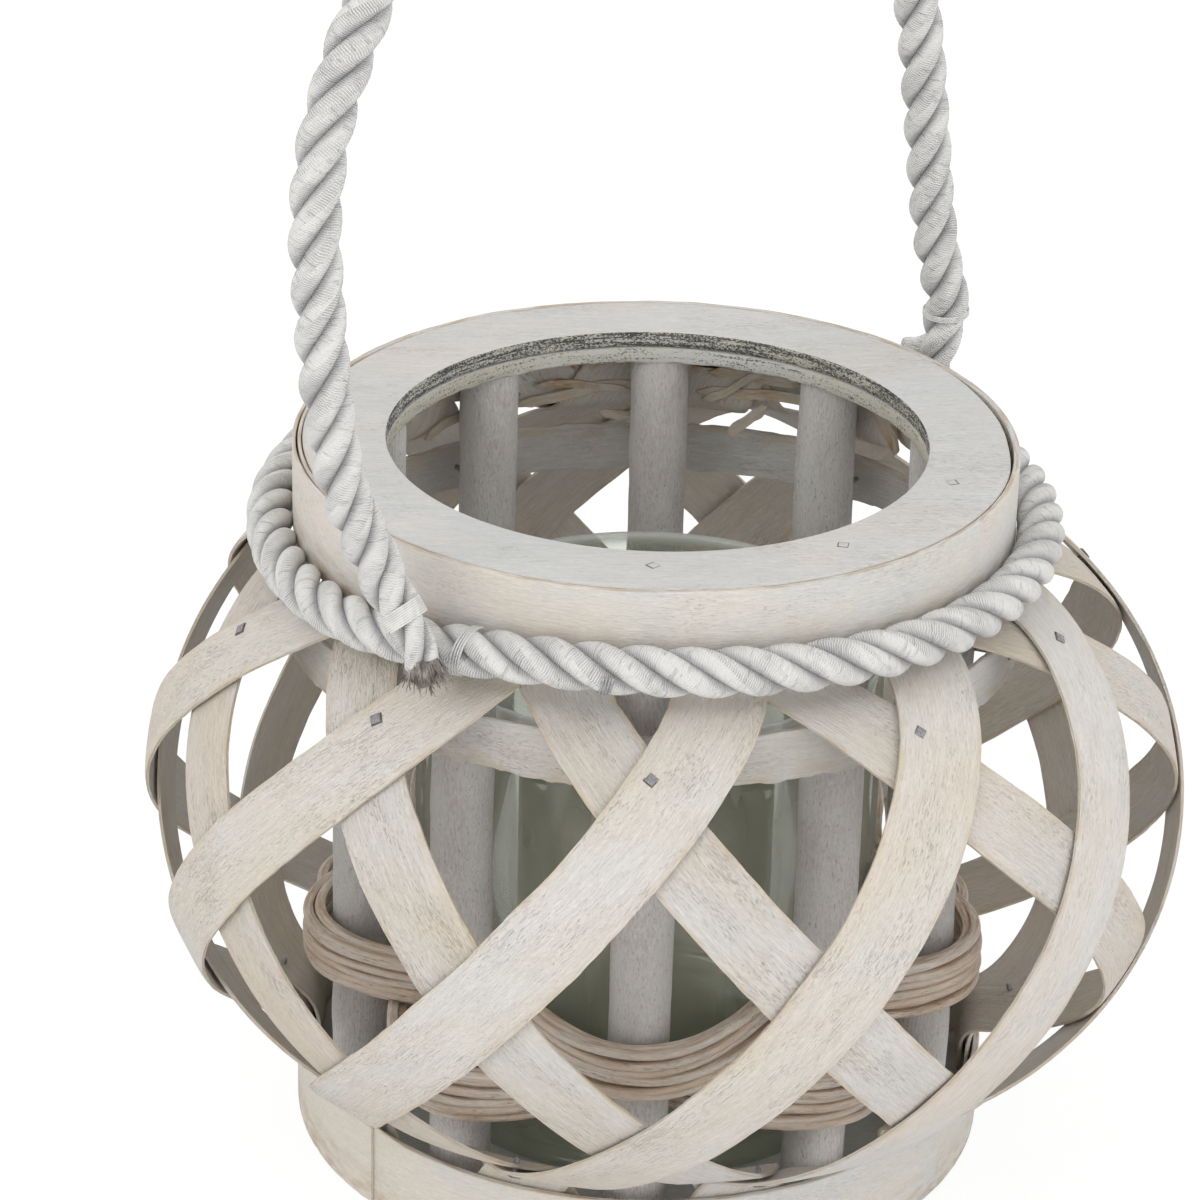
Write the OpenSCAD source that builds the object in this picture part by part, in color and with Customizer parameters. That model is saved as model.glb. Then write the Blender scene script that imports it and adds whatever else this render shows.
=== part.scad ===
// Hurricane candle lantern: a round basket of bent wood strips on ten upright
// sticks, a two-layer wooden top ring, a lift-out glass cylinder and a stiff
// rope bail that is lashed to a rope round the neck.
// Origin: centre of the underside. +Z up. The bail swings about a line along X.

/* [Body] */
// Height from the table to the top of the ring
body_h = 226; // [205:1:250]
// Radius of the strip basket at its widest
belly_r = 158; // [145:0.5:175]
// Height of the bulging part of the basket
belly_h = 158; // [148:1:166]
// How far the hand-made basket bulges out to one side
belly_lean = 5.5; // [0:0.5:8]
// Direction of that sideways bulge, in degrees
belly_lean_dir = -50; // [-180:5:180]

/* [Rings] */
// Outside diameter of the ring boards and of the base board
ring_d = 210; // [206:1:216]
// Diameter of the opening in the top ring
ring_bore_d = 160; // [150:1:162]
// Thickness of each of the two ring boards
ring_board_t = 5.35; // [4:0.05:7]
// Thickness of the base board
base_t = 10.7; // [8:0.1:14]
// Thickness of the bent rim bands
band_t = 2; // [1.5:0.1:3]
// Gap between a rim band and the shoulder where the basket starts to bulge
band_gap = 6.5; // [6:0.5:9]

/* [Neck hoop] */
// Gap between the sticks and the hoop behind the strips
hoop_standoff = 8.75; // [7:0.25:10]
// Thickness of the hoop
hoop_t = 2; // [1.5:0.1:3]
// Height of the hoop
hoop_h = 17.3; // [12:0.1:20]
// Distance from the shoulder of the basket down to the hoop
hoop_below = 9; // [8:1:14]

/* [Uprights] */
// Diameter of an upright stick
upright_d = 19.5; // [16:0.5:19.5]
// Gap between the sticks and the edge of the ring boards, which the strips are tucked into
upright_inset = 5.25; // [5:0.25:8]
// Turn of the first stick from the X axis
upright_turn = 4; // [0:1:35]

/* [Strips] */
// Width of a strip
strip_w = 25; // [18:0.5:27]
// Thickness of a strip
strip_t = 1.5; // [1.2:0.1:1.8]
// Gap between the outer and the inner layer
layer_gap = 0.8; // [0.7:0.1:1.2]
// Turn of an outer strip from the neck to the belly
outer_twist = 30; // [24:1:34]
// Turn of an inner strip from the neck to the belly
inner_twist = 31; // [24:1:34]
// Where the first outer strip crosses the neck
outer_turn = 12; // [8:1:16]
// Where the first inner strip crosses the neck
inner_turn = -7; // [-10:1:-4]

/* [Woven band] */
// Height of each woven row
wale_h = 17; // [10:1:18]
// Thickness of a woven row
wale_t = 6.5; // [4:0.5:7]
// Height of the top edge of the upper row
wale_top = 78; // [70:1:84]

/* [Rope] */
// Diameter of the rope
rope_d = 14.3; // [13:0.1:15]
// Share of its thickness that the rope keeps at the bail's feet, where lashing and cutting squeeze it
foot_squeeze = 0.78; // [0.7:0.01:0.9]
// Gap between the neck rope and the bail's feet
foot_gap = 0.4; // [0.3:0.1:1]
// Diameter of the lashing thread
thread_d = 1.2; // [0.8:0.1:1.4]
// Diameter of the tie wire on the neck rope
tie_wire_d = 0.9; // [0.6:0.1:1]

/* [Glass] */
// Gap between the glass cylinder and the woven rows round it
glass_gap = 2.35; // [1.5:0.05:6]
// Wall of the glass cylinder
glass_wall = 3; // [2:0.5:5]
// Thickness of its floor
glass_floor = 4; // [3:0.5:8]
// Height of the glass cylinder
glass_h = 151; // [120:1:170]
// Gap under the glass, so that it lifts out freely
glass_seat = 0.3; // [0.2:0.1:0.5]

/* [Fixings] */
// Side of a square brad's head
brad_head = 3; // [2:0.1:4]
// Height of a brad's head
brad_head_t = 0.5; // [0.4:0.1:1]
// Diameter of a brad's shank
brad_d = 1.8; // [1.4:0.1:2.4]
// Length of a ring brad or base brad under its head
brad_l = 22; // [18:1:30]
// Length of a strip nail under its head
strip_nail_l = 6; // [5:0.5:9]
// How far a hoop nail goes into its stick
hoop_nail_bite = 5.25; // [4:0.25:8]

/* [Hidden] */
$fn = 96;
upright_n = 10;
pitch = 360 / upright_n;
ring_r = ring_d / 2;
band_r = ring_r + band_t;
ring_t = 2 * ring_board_t;
upright_r = upright_d / 2;
upright_circle_r = ring_r - upright_inset - upright_r;
upright_h = body_h - ring_t - base_t;
mid_z = body_h / 2;
neck_h = (body_h - belly_h) / 2;
band_h = neck_h - band_gap;
rope_r = rope_d / 2;
rope_facets = 10;

// ---- basket profile: [radius, height above mid_z], from the belly up to the tucked end
bulge_power = 2.07;
round_power = 0.75;
bulge_steps = [0, 0.16, 0.32, 0.47, 0.6, 0.72, 0.82, 0.9, 0.955, 0.985];
tuck_r = ring_r - 1.6;
tuck_end_gap = 2.3;
function bulge_r(u) = band_r + (belly_r - band_r) * pow(1 - pow(abs(u), bulge_power), round_power);
bulge_top = belly_h / 2;
// one half of the profile; its end stops short of a board of thickness board_t
function half_profile(board_t) = concat(
    [for (u = bulge_steps) [bulge_r(u), u * bulge_top]],
    [[band_r + 0.2, bulge_top + 0.2],
     [ring_r, bulge_top + 2],
     [tuck_r + 0.2, bulge_top + 5.5],
     [tuck_r, bulge_top + 10],
     [tuck_r, mid_z - board_t - tuck_end_gap]]);
upper_half = half_profile(ring_t);
lower_half = half_profile(base_t);
half_n = len(upper_half);
profile = concat(
    [for (i = [half_n - 1 : -1 : 0]) upper_half[i]],
    [for (i = [1 : half_n - 1]) [lower_half[i][0], -lower_half[i][1]]]);
profile_n = len(profile);
function run_to(i) = i == 0 ? 0 : run_to(i - 1) + norm(profile[i] - profile[i - 1]);
runs = [for (i = [0 : profile_n - 1]) run_to(i)];
neck_i = half_n - len(bulge_steps);
run_belly = runs[half_n - 1];
run_neck = runs[neck_i];
// share of the way: 0 at the neck, 1 at the belly, 2 at the foot
shares = [for (i = [0 : profile_n - 1]) (runs[i] - run_neck) / (run_belly - run_neck)];
r_table = [for (i = [0 : profile_n - 1]) [shares[i], profile[i][0]]];
z_table = [for (i = [0 : profile_n - 1]) [shares[i], profile[i][1]]];
function lean(z) = belly_lean * sqrt(max(0, 1 - pow(z / bulge_top, 2)));
lean_way = [cos(belly_lean_dir), sin(belly_lean_dir), 0];
function unit(v) = v / norm(v);
// slope of the profile at station i, as [radius, height]
function slope(i) = unit(profile[min(i + 1, profile_n - 1)] - profile[max(i - 1, 0)]);
function radial(a) = [cos(a), sin(a), 0];
// outward normal of the basket at station i, where the strip stands at angle a
function outward(i, a) = -slope(i)[1] * radial(a) + [0, 0, slope(i)[0]];
// how far each strip was laid from its even place, in degrees; its foot is back in its even place
outer_shift_deg = [12, 9, -1, 0, 4, 0, 2, 1, -4, 8];
inner_shift_deg = [11, 4, -13, -9, 0, -2, -1, 1, 3, -3];
// share of its shift that a strip keeps: all of it down to the belly, none at the foot
function kept(share) = let (t = min(1, max(0, share - 1))) 1 - t * t * (3 - 2 * t);
function strip_angle(i, turn, twist, shift) = turn + twist * shares[i] + shift * kept(shares[i]);
// half the strip's width, as an angle round the basket: a leaning strip reads wider there
quarter_run = run_belly - run_neck;
function half_angle(i, twist) =
    let (lean_rate = profile[i][0] * twist * PI / 180 / quarter_run)
    strip_w / 2 * sqrt(1 + lean_rate * lean_rate) / profile[i][0] * 180 / PI;
function strip_point(i, a, depth) =
    profile[i][0] * radial(a) + [0, 0, mid_z + profile[i][1]] + lean(profile[i][1]) * lean_way
    - depth * outward(i, a);
function strip_ring(i, turn, twist, depth, shift) =
    let (a = strip_angle(i, turn, twist, shift), h = half_angle(i, twist))
    concat(
        [for (k = [-1 : 1]) strip_point(i, a + k * h, depth - strip_t / 2)],
        [for (k = [1 : -1 : -1]) strip_point(i, a + k * h, depth + strip_t / 2)]);

// ---- rope round the neck: [angle, height of its middle above the lower edge of the rim band]
neck_rope_gap = 0.35;
neck_rope_r = band_r + rope_r + neck_rope_gap;
neck_rises = [[0, 4], [60, 4], [110, 2.5], [145, 0], [170, 0.5], [188, 4.5],
              [202, 7.5], [225, 7], [260, 4.5], [310, 3.5], [360, 4]];
neck_steps = 48;
function neck_rope_z(a) = body_h - band_h + lookup(a, neck_rises);
function neck_mid(a) = neck_rope_r * radial(a) + [0, 0, neck_rope_z(a)];

// ---- rope bail: points [x, y, height above the top of the ring], chosen by hand
foot_x = neck_rope_r + (1 + foot_squeeze) * rope_r + foot_gap;
bail_y = -9;
bail_route = [[-foot_x, -27, -25], [-foot_x, -23, -14], [-foot_x - 0.5, -16, -5], [-foot_x - 2, -10, 6],
              [-136, bail_y, 20], [-142, bail_y, 34], [-147, bail_y, 58], [-150, bail_y, 86], [-151, bail_y, 114],
              [-144, bail_y, 142], [-122, bail_y, 177], [-88, bail_y, 203], [-47, bail_y, 217],
              [-3, bail_y, 217], [38, bail_y, 203], [72, bail_y, 177], [94, bail_y, 142],
              [105, bail_y, 106], [112, bail_y, 72], [117, bail_y, 45], [122, bail_y, 26],
              [foot_x + 0.3, bail_y, 9], [foot_x + 0.2, -8, -4], [foot_x, -6, -15], [foot_x, -5, -25]];
bail_smooth = 3;
function route_point(p, i) = p[max(0, min(len(p) - 1, i))];
// smooth curve through the route's points
function curve_at(p, i, t) =
    let (a = route_point(p, i - 1), b = route_point(p, i), c = route_point(p, i + 1), d = route_point(p, i + 2))
    0.5 * (2 * b + (c - a) * t + (2 * a - 5 * b + 4 * c - d) * t * t + (3 * b - a - 3 * c + d) * t * t * t);
function smooth_route(p, k) = concat(
    [for (i = [0 : len(p) - 2]) for (j = [0 : k - 1]) curve_at(p, i, j / k)],
    [p[len(p) - 1]]);
function raise(p, h) = [for (q = p) q + [0, 0, h]];
bail_path = raise(smooth_route(bail_route, bail_smooth), body_h);
bail_n = len(bail_path);
// share of the rope's thickness at step i of the bail: squeezed at both feet
squeeze_steps = [[0, foot_squeeze], [3, foot_squeeze], [9, 1]];
function bail_r(i) = rope_r * lookup(min(i, bail_n - 1 - i), squeeze_steps);
function heading(p, i) = unit(p[min(i + 1, len(p) - 1)] - p[max(i - 1, 0)]);
// ring of a tube round the path: the tube's sections stay square to the path
function tube_ring(mid, ahead, side, r, facets) =
    let (u = unit(cross(ahead, side)), v = cross(u, ahead))
    [for (k = [0 : facets - 1]) mid + r * (cos(360 * k / facets) * u + sin(360 * k / facets) * v)];

// ---- woven rows: the middle runs outside every second stick and inside the next
wale_clear = 0.9;
wale_mean_r = upright_circle_r + 0.5;
wale_swing = upright_r + wale_t / 2 + wale_clear;
wale_inner_r = wale_mean_r - wale_swing - wale_t / 2;
wale_steps = 80;
wale_gap = 0.5;
function wale_r(a, phase) = wale_mean_r + wale_swing * cos((a - upright_turn) * upright_n / 2 + phase);
function wale_point(a, phase) = wale_r(a, phase) * radial(a);
function wale_way(a, phase) = unit(wale_point(a + 1, phase) - wale_point(a - 1, phase));
function wale_ring(a, phase, z, h) =
    let (m = wale_point(a, phase), w = wale_way(a, phase), n = [w[1], -w[0], 0] * wale_t / 2)
    [m - n + [0, 0, z], m + n + [0, 0, z], m + n + [0, 0, z + h], m - n + [0, 0, z + h]];

// ---- nails where an outer strip lies over an inner one, a little above the middle of the crossing
function crossing(k, apart) = (outer_turn - inner_turn + k * pitch + apart) / (outer_twist + inner_twist);
last_crossing = 3;
nail_rise = 0.14;
// the highest place of a nail, clear of the neck rope
nail_top = 0.15;
hoop_inner_r = upright_circle_r + upright_r + hoop_standoff;
hoop_outer_r = hoop_inner_r + hoop_t;
hoop_z = body_h - neck_h - hoop_below - hoop_h;
hoop_nail_l = hoop_t + hoop_standoff + hoop_nail_bite;

// ---- glass
glass_r = wale_inner_r - glass_gap;

// ---- ties on the neck rope and lashings on the bail
tie_left_a = 193;
tie_front_a = 214;
tie_right_a = 349;
tie_step = 1.2;
tie_wrap = 220;
tie_gap = 0.15;
lashing_turns = 4;
thread_gap = 0.05;
thread_bite = 0.02;
left_lash_i = 5;
right_lash_i = bail_n - 9;

// triangles of a skin over rings of points; a loop joins its last ring to its first.
// The two broad sides of a strip are cut along the same diagonal, flipped for the inner layer.
function skin_faces(rings, side, loop, flip) = concat(
    [for (i = [0 : rings - (loop ? 1 : 2)]) for (k = [0 : side - 1]) for (half = [0, 1])
        let (j = (i + 1) % rings, m = (k + 1) % side,
             a = i * side + k, b = i * side + m, c = j * side + m, d = j * side + k,
             first = (k < side / 2) != flip)
        first ? (half == 0 ? [a, b, c] : [a, c, d]) : (half == 0 ? [a, b, d] : [b, c, d])],
    loop ? [] : [[for (k = [side - 1 : -1 : 0]) k], [for (k = [0 : side - 1]) (rings - 1) * side + k]]);

function two_digits(i) = i < 10 ? str("0", i) : str(i);

// A skin over a list of rings, each a closed row of points.
module skin(rings, loop = false, flip = false) {
    side = len(rings[0]);
    polyhedron(points = [for (r = rings) for (q = r) q],
        faces = skin_faces(len(rings), side, loop, flip), convexity = 8);
}

// A flat annular board with its underside at z.
module board(z, t, bore) {
    translate([0, 0, z])
        difference() {
            cylinder(r = ring_r, h = t);
            if (bore > 0)
                translate([0, 0, -1]) cylinder(d = bore, h = t + 2);
        }
}

module top_board() {
    color([0.82, 0.82, 0.80]) board(body_h - ring_board_t, ring_board_t, ring_bore_d);
}

module under_board() {
    color([0.78, 0.77, 0.74]) board(body_h - ring_t, ring_board_t, ring_bore_d);
}

module base_board() {
    color([0.80, 0.79, 0.76]) board(0, base_t, 0);
}

// A thin bent hoop: inside radius r, wall t.
module hoop(r, t, z, h) {
    translate([0, 0, z])
        difference() {
            cylinder(r = r + t, h = h);
            translate([0, 0, -1]) cylinder(r = r, h = h + 2);
        }
}

module rim_band() {
    color([0.86, 0.84, 0.80]) hoop(ring_r, band_t, body_h - band_h, band_h);
}

module base_band() {
    color([0.85, 0.83, 0.79]) hoop(ring_r, band_t, 0, band_h);
}

module neck_hoop() {
    color([0.80, 0.77, 0.72]) hoop(hoop_inner_r, hoop_t, hoop_z, hoop_h);
}

module upright(i) {
    color([0.68, 0.67, 0.66])
        rotate([0, 0, upright_turn + (i - 1) * pitch])
            translate([upright_circle_r, 0, base_t])
                cylinder(d = upright_d, h = upright_h);
}

// Strips: the outer layer leans one way, the inner layer the other way under it.
module outer_strip(i) {
    color([0.84, 0.82, 0.79])
        skin([for (k = [0 : profile_n - 1])
            strip_ring(k, outer_turn + (i - 1) * pitch, -outer_twist, 0, outer_shift_deg[i - 1])]);
}

module inner_strip(i) {
    color([0.79, 0.77, 0.73])
        skin([for (k = [0 : profile_n - 1])
            strip_ring(k, inner_turn + (i - 1) * pitch, inner_twist, strip_t + layer_gap,
                inner_shift_deg[i - 1])], flip = true);
}

module wale(z, phase) {
    color([0.72, 0.66, 0.60])
        skin([for (k = [0 : wale_steps - 1]) wale_ring(k * 360 / wale_steps, phase, z, wale_h)], loop = true);
}

module neck_rope() {
    color([0.80, 0.80, 0.79])
        skin([for (k = [0 : neck_steps - 1])
            let (a = k * 360 / neck_steps, ahead = unit(neck_mid(a + 1) - neck_mid((a + 359) % 360)))
            tube_ring(neck_mid(a), ahead, [0, 0, 1], rope_r, rope_facets)], loop = true);
}

module bail_rope() {
    color([0.81, 0.81, 0.80])
        skin([for (i = [0 : bail_n - 1])
            tube_ring(bail_path[i], heading(bail_path, i), [0, 1, 0], bail_r(i), rope_facets)]);
}

// An open wire clip that grips the outer side of the neck rope at angle a.
module neck_tie(a, turns) {
    color("silver")
        for (t = [0 : turns - 1])
            rotate([0, 0, a + t * tie_step])
                translate([neck_rope_r, 0, neck_rope_z(a + t * tie_step)])
                    rotate([90, 0, 0])
                        rotate([0, 0, -tie_wrap / 2])
                            rotate_extrude(angle = tie_wrap, $fn = 48)
                                translate([rope_r + tie_gap + tie_wire_d / 2, 0])
                                    circle(d = tie_wire_d, $fn = 16);
}

// Turns of thread round a foot of the bail, centred on its step i and square to the rope.
module lashing(i, turns) {
    p = bail_path[i];
    way = heading(bail_path, i);
    // the thread clears the thickest part of the rope that it covers
    grip_r = max(bail_r(i), bail_r(i + 1), bail_r(i - 1));
    tilt = acos(way[2]);
    swing = atan2(way[1], way[0]);
    color([0.88, 0.87, 0.85])
        translate(p) rotate([0, tilt, swing])
            for (t = [0 : turns - 1])
                translate([0, 0, (t - (turns - 1) / 2) * thread_d])
                    rotate_extrude($fn = 48)
                        translate([grip_r + thread_gap + thread_d / 2, 0])
                            circle(d = thread_d + thread_bite, $fn = 16);
}

// A brad along -Z: square head above the origin, shank below it.
module brad(shank) {
    translate([-brad_head / 2, -brad_head / 2, 0]) cube([brad_head, brad_head, brad_head_t]);
    translate([0, 0, -shank]) cylinder(d = brad_d, h = shank, $fn = 24);
}

module ring_brads() {
    color("gray")
        for (i = [0 : upright_n - 1])
            rotate([0, 0, upright_turn + i * pitch])
                translate([upright_circle_r, 0, body_h]) brad(brad_l);
}

module base_brads() {
    color("gray")
        for (i = [0 : upright_n - 1])
            rotate([0, 0, upright_turn + i * pitch])
                translate([upright_circle_r, 0, 0]) cylinder(d = brad_d, h = brad_l, $fn = 24);
}

module hoop_nails() {
    color("gray")
        for (i = [0 : upright_n - 1])
            rotate([0, 0, upright_turn + i * pitch])
                translate([hoop_outer_r, 0, hoop_z + hoop_h / 2])
                    rotate([0, 90, 0]) brad(hoop_nail_l);
}

// Nails that join the two layers of strips where they cross.
module strip_nails(k, held) {
    step = 0.02;
    color("gray")
        for (i = [0 : upright_n - 1]) {
            cross = crossing(k, held * (outer_shift_deg[i] - inner_shift_deg[i]));
            share = max(nail_top, cross - nail_rise);
            spot = [lookup(share, r_table), lookup(share, z_table)];
            run = [lookup(share + step, r_table), lookup(share + step, z_table)] - spot;
            translate(lean(spot[1]) * lean_way + [0, 0, mid_z])
                rotate([0, 0, outer_turn - outer_twist * cross + i * pitch + held * outer_shift_deg[i]])
                    translate([spot[0], 0, spot[1]])
                        rotate([0, atan2(-run[1], run[0]), 0])
                            translate([0, 0, strip_t / 2]) brad(strip_nail_l);
        }
}

module glass_cylinder() {
    color([0.75, 0.82, 0.78, 0.4])
        translate([0, 0, base_t + glass_seat])
            difference() {
                cylinder(r = glass_r, h = glass_h, $fn = 128);
                translate([0, 0, glass_floor])
                    cylinder(r = glass_r - glass_wall, h = glass_h, $fn = 128);
            }
}

top_board();
under_board();
rim_band();
neck_hoop();
base_board();
base_band();
for (i = [1 : upright_n]) {
    upright(i);
    outer_strip(i);
    inner_strip(i);
}
wale(wale_top - wale_h, 0);  // wale_upper
wale(wale_top - 2 * wale_h - wale_gap, 180);  // wale_lower
neck_rope();
neck_tie(tie_left_a, 3);  // neck_tie_left
neck_tie(tie_front_a, 2);  // neck_tie_front
neck_tie(tie_right_a, 3);  // neck_tie_right
bail_rope();
lashing(left_lash_i, lashing_turns);  // lashing_left
lashing(right_lash_i, lashing_turns);  // lashing_right
ring_brads();
hoop_nails();
strip_nails(0, 1);  // neck_nails
strip_nails(last_crossing, 0);  // foot_nails
base_brads();
glass_cylinder();
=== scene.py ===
# %% [markdown]
# # A basket lantern of washed wood strips, with a rope handle
# A round lantern is a cage: ten peeled sticks stand between a wooden top ring and a
# base, thin shaved strips cross over them in two layers, willow is woven round their
# feet, and a glass cylinder stands inside for the candle. This notebook dresses the
# imported model of that lantern. The imported parts give every size and place, so the
# first cell only loads them and keeps their box.

# %% Load the imported frame
import math

import bmesh
import bpy
import numpy as np
from mathutils import Matrix, Vector


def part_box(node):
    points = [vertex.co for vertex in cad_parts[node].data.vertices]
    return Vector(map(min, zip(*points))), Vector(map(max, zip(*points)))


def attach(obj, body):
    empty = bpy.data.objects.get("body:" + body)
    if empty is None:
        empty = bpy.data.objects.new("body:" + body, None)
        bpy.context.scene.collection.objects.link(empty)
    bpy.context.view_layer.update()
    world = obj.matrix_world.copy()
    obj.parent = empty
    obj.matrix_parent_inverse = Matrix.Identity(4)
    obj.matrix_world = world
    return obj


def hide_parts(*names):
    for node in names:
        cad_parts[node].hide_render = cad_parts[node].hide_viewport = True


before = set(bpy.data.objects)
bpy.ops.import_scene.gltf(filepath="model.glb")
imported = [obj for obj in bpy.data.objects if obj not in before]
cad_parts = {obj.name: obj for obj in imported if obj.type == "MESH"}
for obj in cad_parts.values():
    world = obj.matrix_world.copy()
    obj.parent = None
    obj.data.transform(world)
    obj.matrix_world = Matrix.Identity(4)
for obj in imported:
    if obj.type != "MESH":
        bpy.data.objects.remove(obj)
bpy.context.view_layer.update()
MM = 0.001
print("packed nodes:", len(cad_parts))

# %% [markdown]
# ## Sizes from the frame
# Every ring, board and hoop is turned about the Z axis, so its smallest and largest
# radius and its two heights say all there is to know about it. Reading them from the
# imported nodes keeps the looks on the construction, whatever its sizes are. From here
# on everything is planned in millimetres and only turned into metres in the mesh.


# %% Measure the turned parts
def turned_size(node_name):
    """Smallest radius, largest radius, lowest and highest point of a node, in millimetres."""
    spots = np.array([v.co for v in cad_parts[node_name].data.vertices]) / MM
    radii = np.hypot(spots[:, 0], spots[:, 1])
    return radii.min(), radii.max(), spots[:, 2].min(), spots[:, 2].max()


bore_r, ring_r, joint_z, top_z = turned_size("top_board")
_, _, ring_low_z, _ = turned_size("under_board")
_, band_r, band_low_z, _ = turned_size("rim_band")
hoop_in_r, hoop_out_r, hoop_low_z, hoop_top_z = turned_size("neck_hoop")
_, _, _, base_t = turned_size("base_board")
_, _, _, base_band_z = turned_size("base_band")
_, glass_r, glass_low_z, glass_top_z = turned_size("glass_cylinder")
stick_in_r, stick_out_r, _, _ = turned_size("upright_01")
stick_r = (stick_out_r - stick_in_r) / 2
stick_circle_r = (stick_out_r + stick_in_r) / 2
mid_z = top_z / 2
print(f"ring {2 * band_r:.1f} mm across, bore {2 * bore_r:.1f}, height {top_z:.1f}, stick {2 * stick_r:.1f}")

# %% [markdown]
# ## The camera
# The lantern is looked down on from a little over a metre away, with a long lens, so
# its ring reads as a calm ellipse. A camera is a place, a point that it looks at and
# a roll: three facts that could be read off a tripod. They are turned into the
# camera's matrix by crossing the viewing direction with straight up.

# %% Set the camera up
CAMERA_PLACE = Vector((-0.88681, -0.74412, 0.73280))
CAMERA_AIM = Vector((-0.055067, -0.026650, 0.200))
CAMERA_ROLL = math.radians(1.4355)
LENS_MM = 128.256
SENSOR_MM = 36.0
camera_data = bpy.data.cameras.new("camera")
camera_data.lens = LENS_MM
camera_data.sensor_width = SENSOR_MM
camera_data.clip_start = 0.05
camera = bpy.data.objects.new("camera", camera_data)
bpy.context.scene.collection.objects.link(camera)
ahead = (CAMERA_AIM - CAMERA_PLACE).normalized()
level = ahead.cross(Vector((0, 0, 1))).normalized()
upward = level.cross(ahead)
right = level * math.cos(CAMERA_ROLL) + upward * math.sin(CAMERA_ROLL)
above = right.cross(ahead)
turned = Matrix((right, above, -ahead)).transposed()
camera.matrix_world = Matrix.Translation(CAMERA_PLACE) @ turned.to_4x4()
bpy.context.scene.camera = camera
print("camera looks down by", round(math.degrees(math.asin(-ahead.z)), 2), "degrees")

# %% [markdown]
# ## Routes of the two ropes
# One rope is tied round the neck of the basket, and a stiffer length of it makes the
# handle. Both follow a few given points. A smooth curve through the points
# (each span is a cubic that borrows its slope from the neighbours) gives the middle
# line of the rope, and walking along that line at an even pace gives its real length.

# %% Choose the points of the two ropes
ROPE_R = 7.15
FOOT_SQUEEZE = 0.78
NECK_GAP = 0.35
FOOT_GAP = 0.4
neck_rope_r = band_r + ROPE_R + NECK_GAP
foot_x = neck_rope_r + (1 + FOOT_SQUEEZE) * ROPE_R + FOOT_GAP
# angle in degrees, height of the rope's middle above the lower edge of the rim band
NECK_RISES = [(0, 4), (60, 4), (110, 2.5), (145, 0), (170, 0.5), (188, 4.5),
              (202, 7.5), (225, 7), (260, 4.5), (310, 3.5), (360, 4)]
# x, y and height above the top of the ring
BAIL_ROUTE = [(-foot_x, -27, -25), (-foot_x, -23, -14), (-foot_x - 0.5, -16, -5),
              (-foot_x - 2, -10, 6), (-136, -9, 20), (-142, -9, 34), (-147, -9, 58),
              (-150, -9, 86), (-151, -9, 114), (-144, -9, 142), (-122, -9, 177),
              (-88, -9, 203), (-47, -9, 217), (-3, -9, 217), (38, -9, 203),
              (72, -9, 177), (94, -9, 142), (105, -9, 106), (112, -9, 72),
              (117, -9, 45), (122, -9, 26), (foot_x + 0.3, -9, 9),
              (foot_x + 0.2, -8, -4), (foot_x, -6, -15), (foot_x, -5, -25)]
print("the handle's route has", len(BAIL_ROUTE), "points; its feet stand", round(2 * foot_x), "mm apart")


# %% Walk along the routes
ROUTE_PACE = 1.5
NECK_STEPS = 480
NECK_SMOOTH = 20


def smooth_route(points, steps=12):
    """Points along the cubic spans that pass through all the given points."""
    points = np.array(points, float)
    padded = np.vstack([points[:1], points, points[-1:]])
    t = np.linspace(0, 1, steps, endpoint=False)[:, None]
    spans = []
    for a, b, c, d in zip(padded, padded[1:], padded[2:], padded[3:]):
        spans.append(0.5 * (2 * b + (c - a) * t + (2 * a - 5 * b + 4 * c - d) * t ** 2
                            + (3 * b - a - 3 * c + d) * t ** 3))
    return np.vstack(spans + [points[-1:]])


def even_route(points, pace):
    """The same line walked at an even pace; also gives its length."""
    run = np.concatenate([[0], np.cumsum(np.linalg.norm(np.diff(points, axis=0), axis=1))])
    stops = np.linspace(0, run[-1], int(round(run[-1] / pace)) + 1)
    walked = np.stack([np.interp(stops, run, points[:, k]) for k in range(3)], axis=1)
    return walked, run[-1]


bail_points = smooth_route(np.array(BAIL_ROUTE) + [0, 0, top_z])
bail_line, bail_length = even_route(bail_points, ROUTE_PACE)
neck_angles = np.linspace(0, 2 * np.pi, NECK_STEPS + 1)
neck_z = band_low_z + np.interp(np.degrees(neck_angles), *zip(*NECK_RISES))
smoother = np.hanning(2 * NECK_SMOOTH + 1)
smoother = smoother / smoother.sum()
turn_before = neck_z[-NECK_SMOOTH - 1:-1]
turn_after = neck_z[1:NECK_SMOOTH + 1]
neck_z = np.convolve(np.concatenate([turn_before, neck_z, turn_after]), smoother, "valid")
neck_x = neck_rope_r * np.cos(neck_angles)
neck_y = neck_rope_r * np.sin(neck_angles)
neck_line = np.stack([neck_x, neck_y, neck_z], 1)
neck_length = np.linalg.norm(np.diff(neck_line, axis=0), axis=1).sum()
print(f"handle rope {bail_length:.0f} mm long, neck rope {neck_length:.0f} mm long")

# %% [markdown]
# ## One way to make a mesh
# Almost every piece here is a row of cross-sections: a strip, a stick, a strand of
# rope, a turned ring. So one function skins them all. It also writes two attributes
# on the corners of the faces: `grain`, a place in millimetres measured across the
# wood, through it and along it, and a second one that says how much of a cut edge, of a
# torn end and of a warmer tone there is, and on a rope strand how deep each side lies,
# which sets the shade painted into its grooves. Attributes travel with the mesh, so the
# finish follows every bend, which coordinates in space can't do.


# %% Skin a row of cross-sections
def corner_values(mesh, name, values):
    """Writes three numbers on every corner of every face."""
    made = mesh.attributes.new(name, "FLOAT_VECTOR", "CORNER")
    made.data.foreach_set("vector", np.ascontiguousarray(values, np.float32).ravel())


def no_wear():
    """One row and column of zeros: no cut edge, no tear and no warmer tone anywhere."""
    return np.zeros((1, 1, 3))


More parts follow.
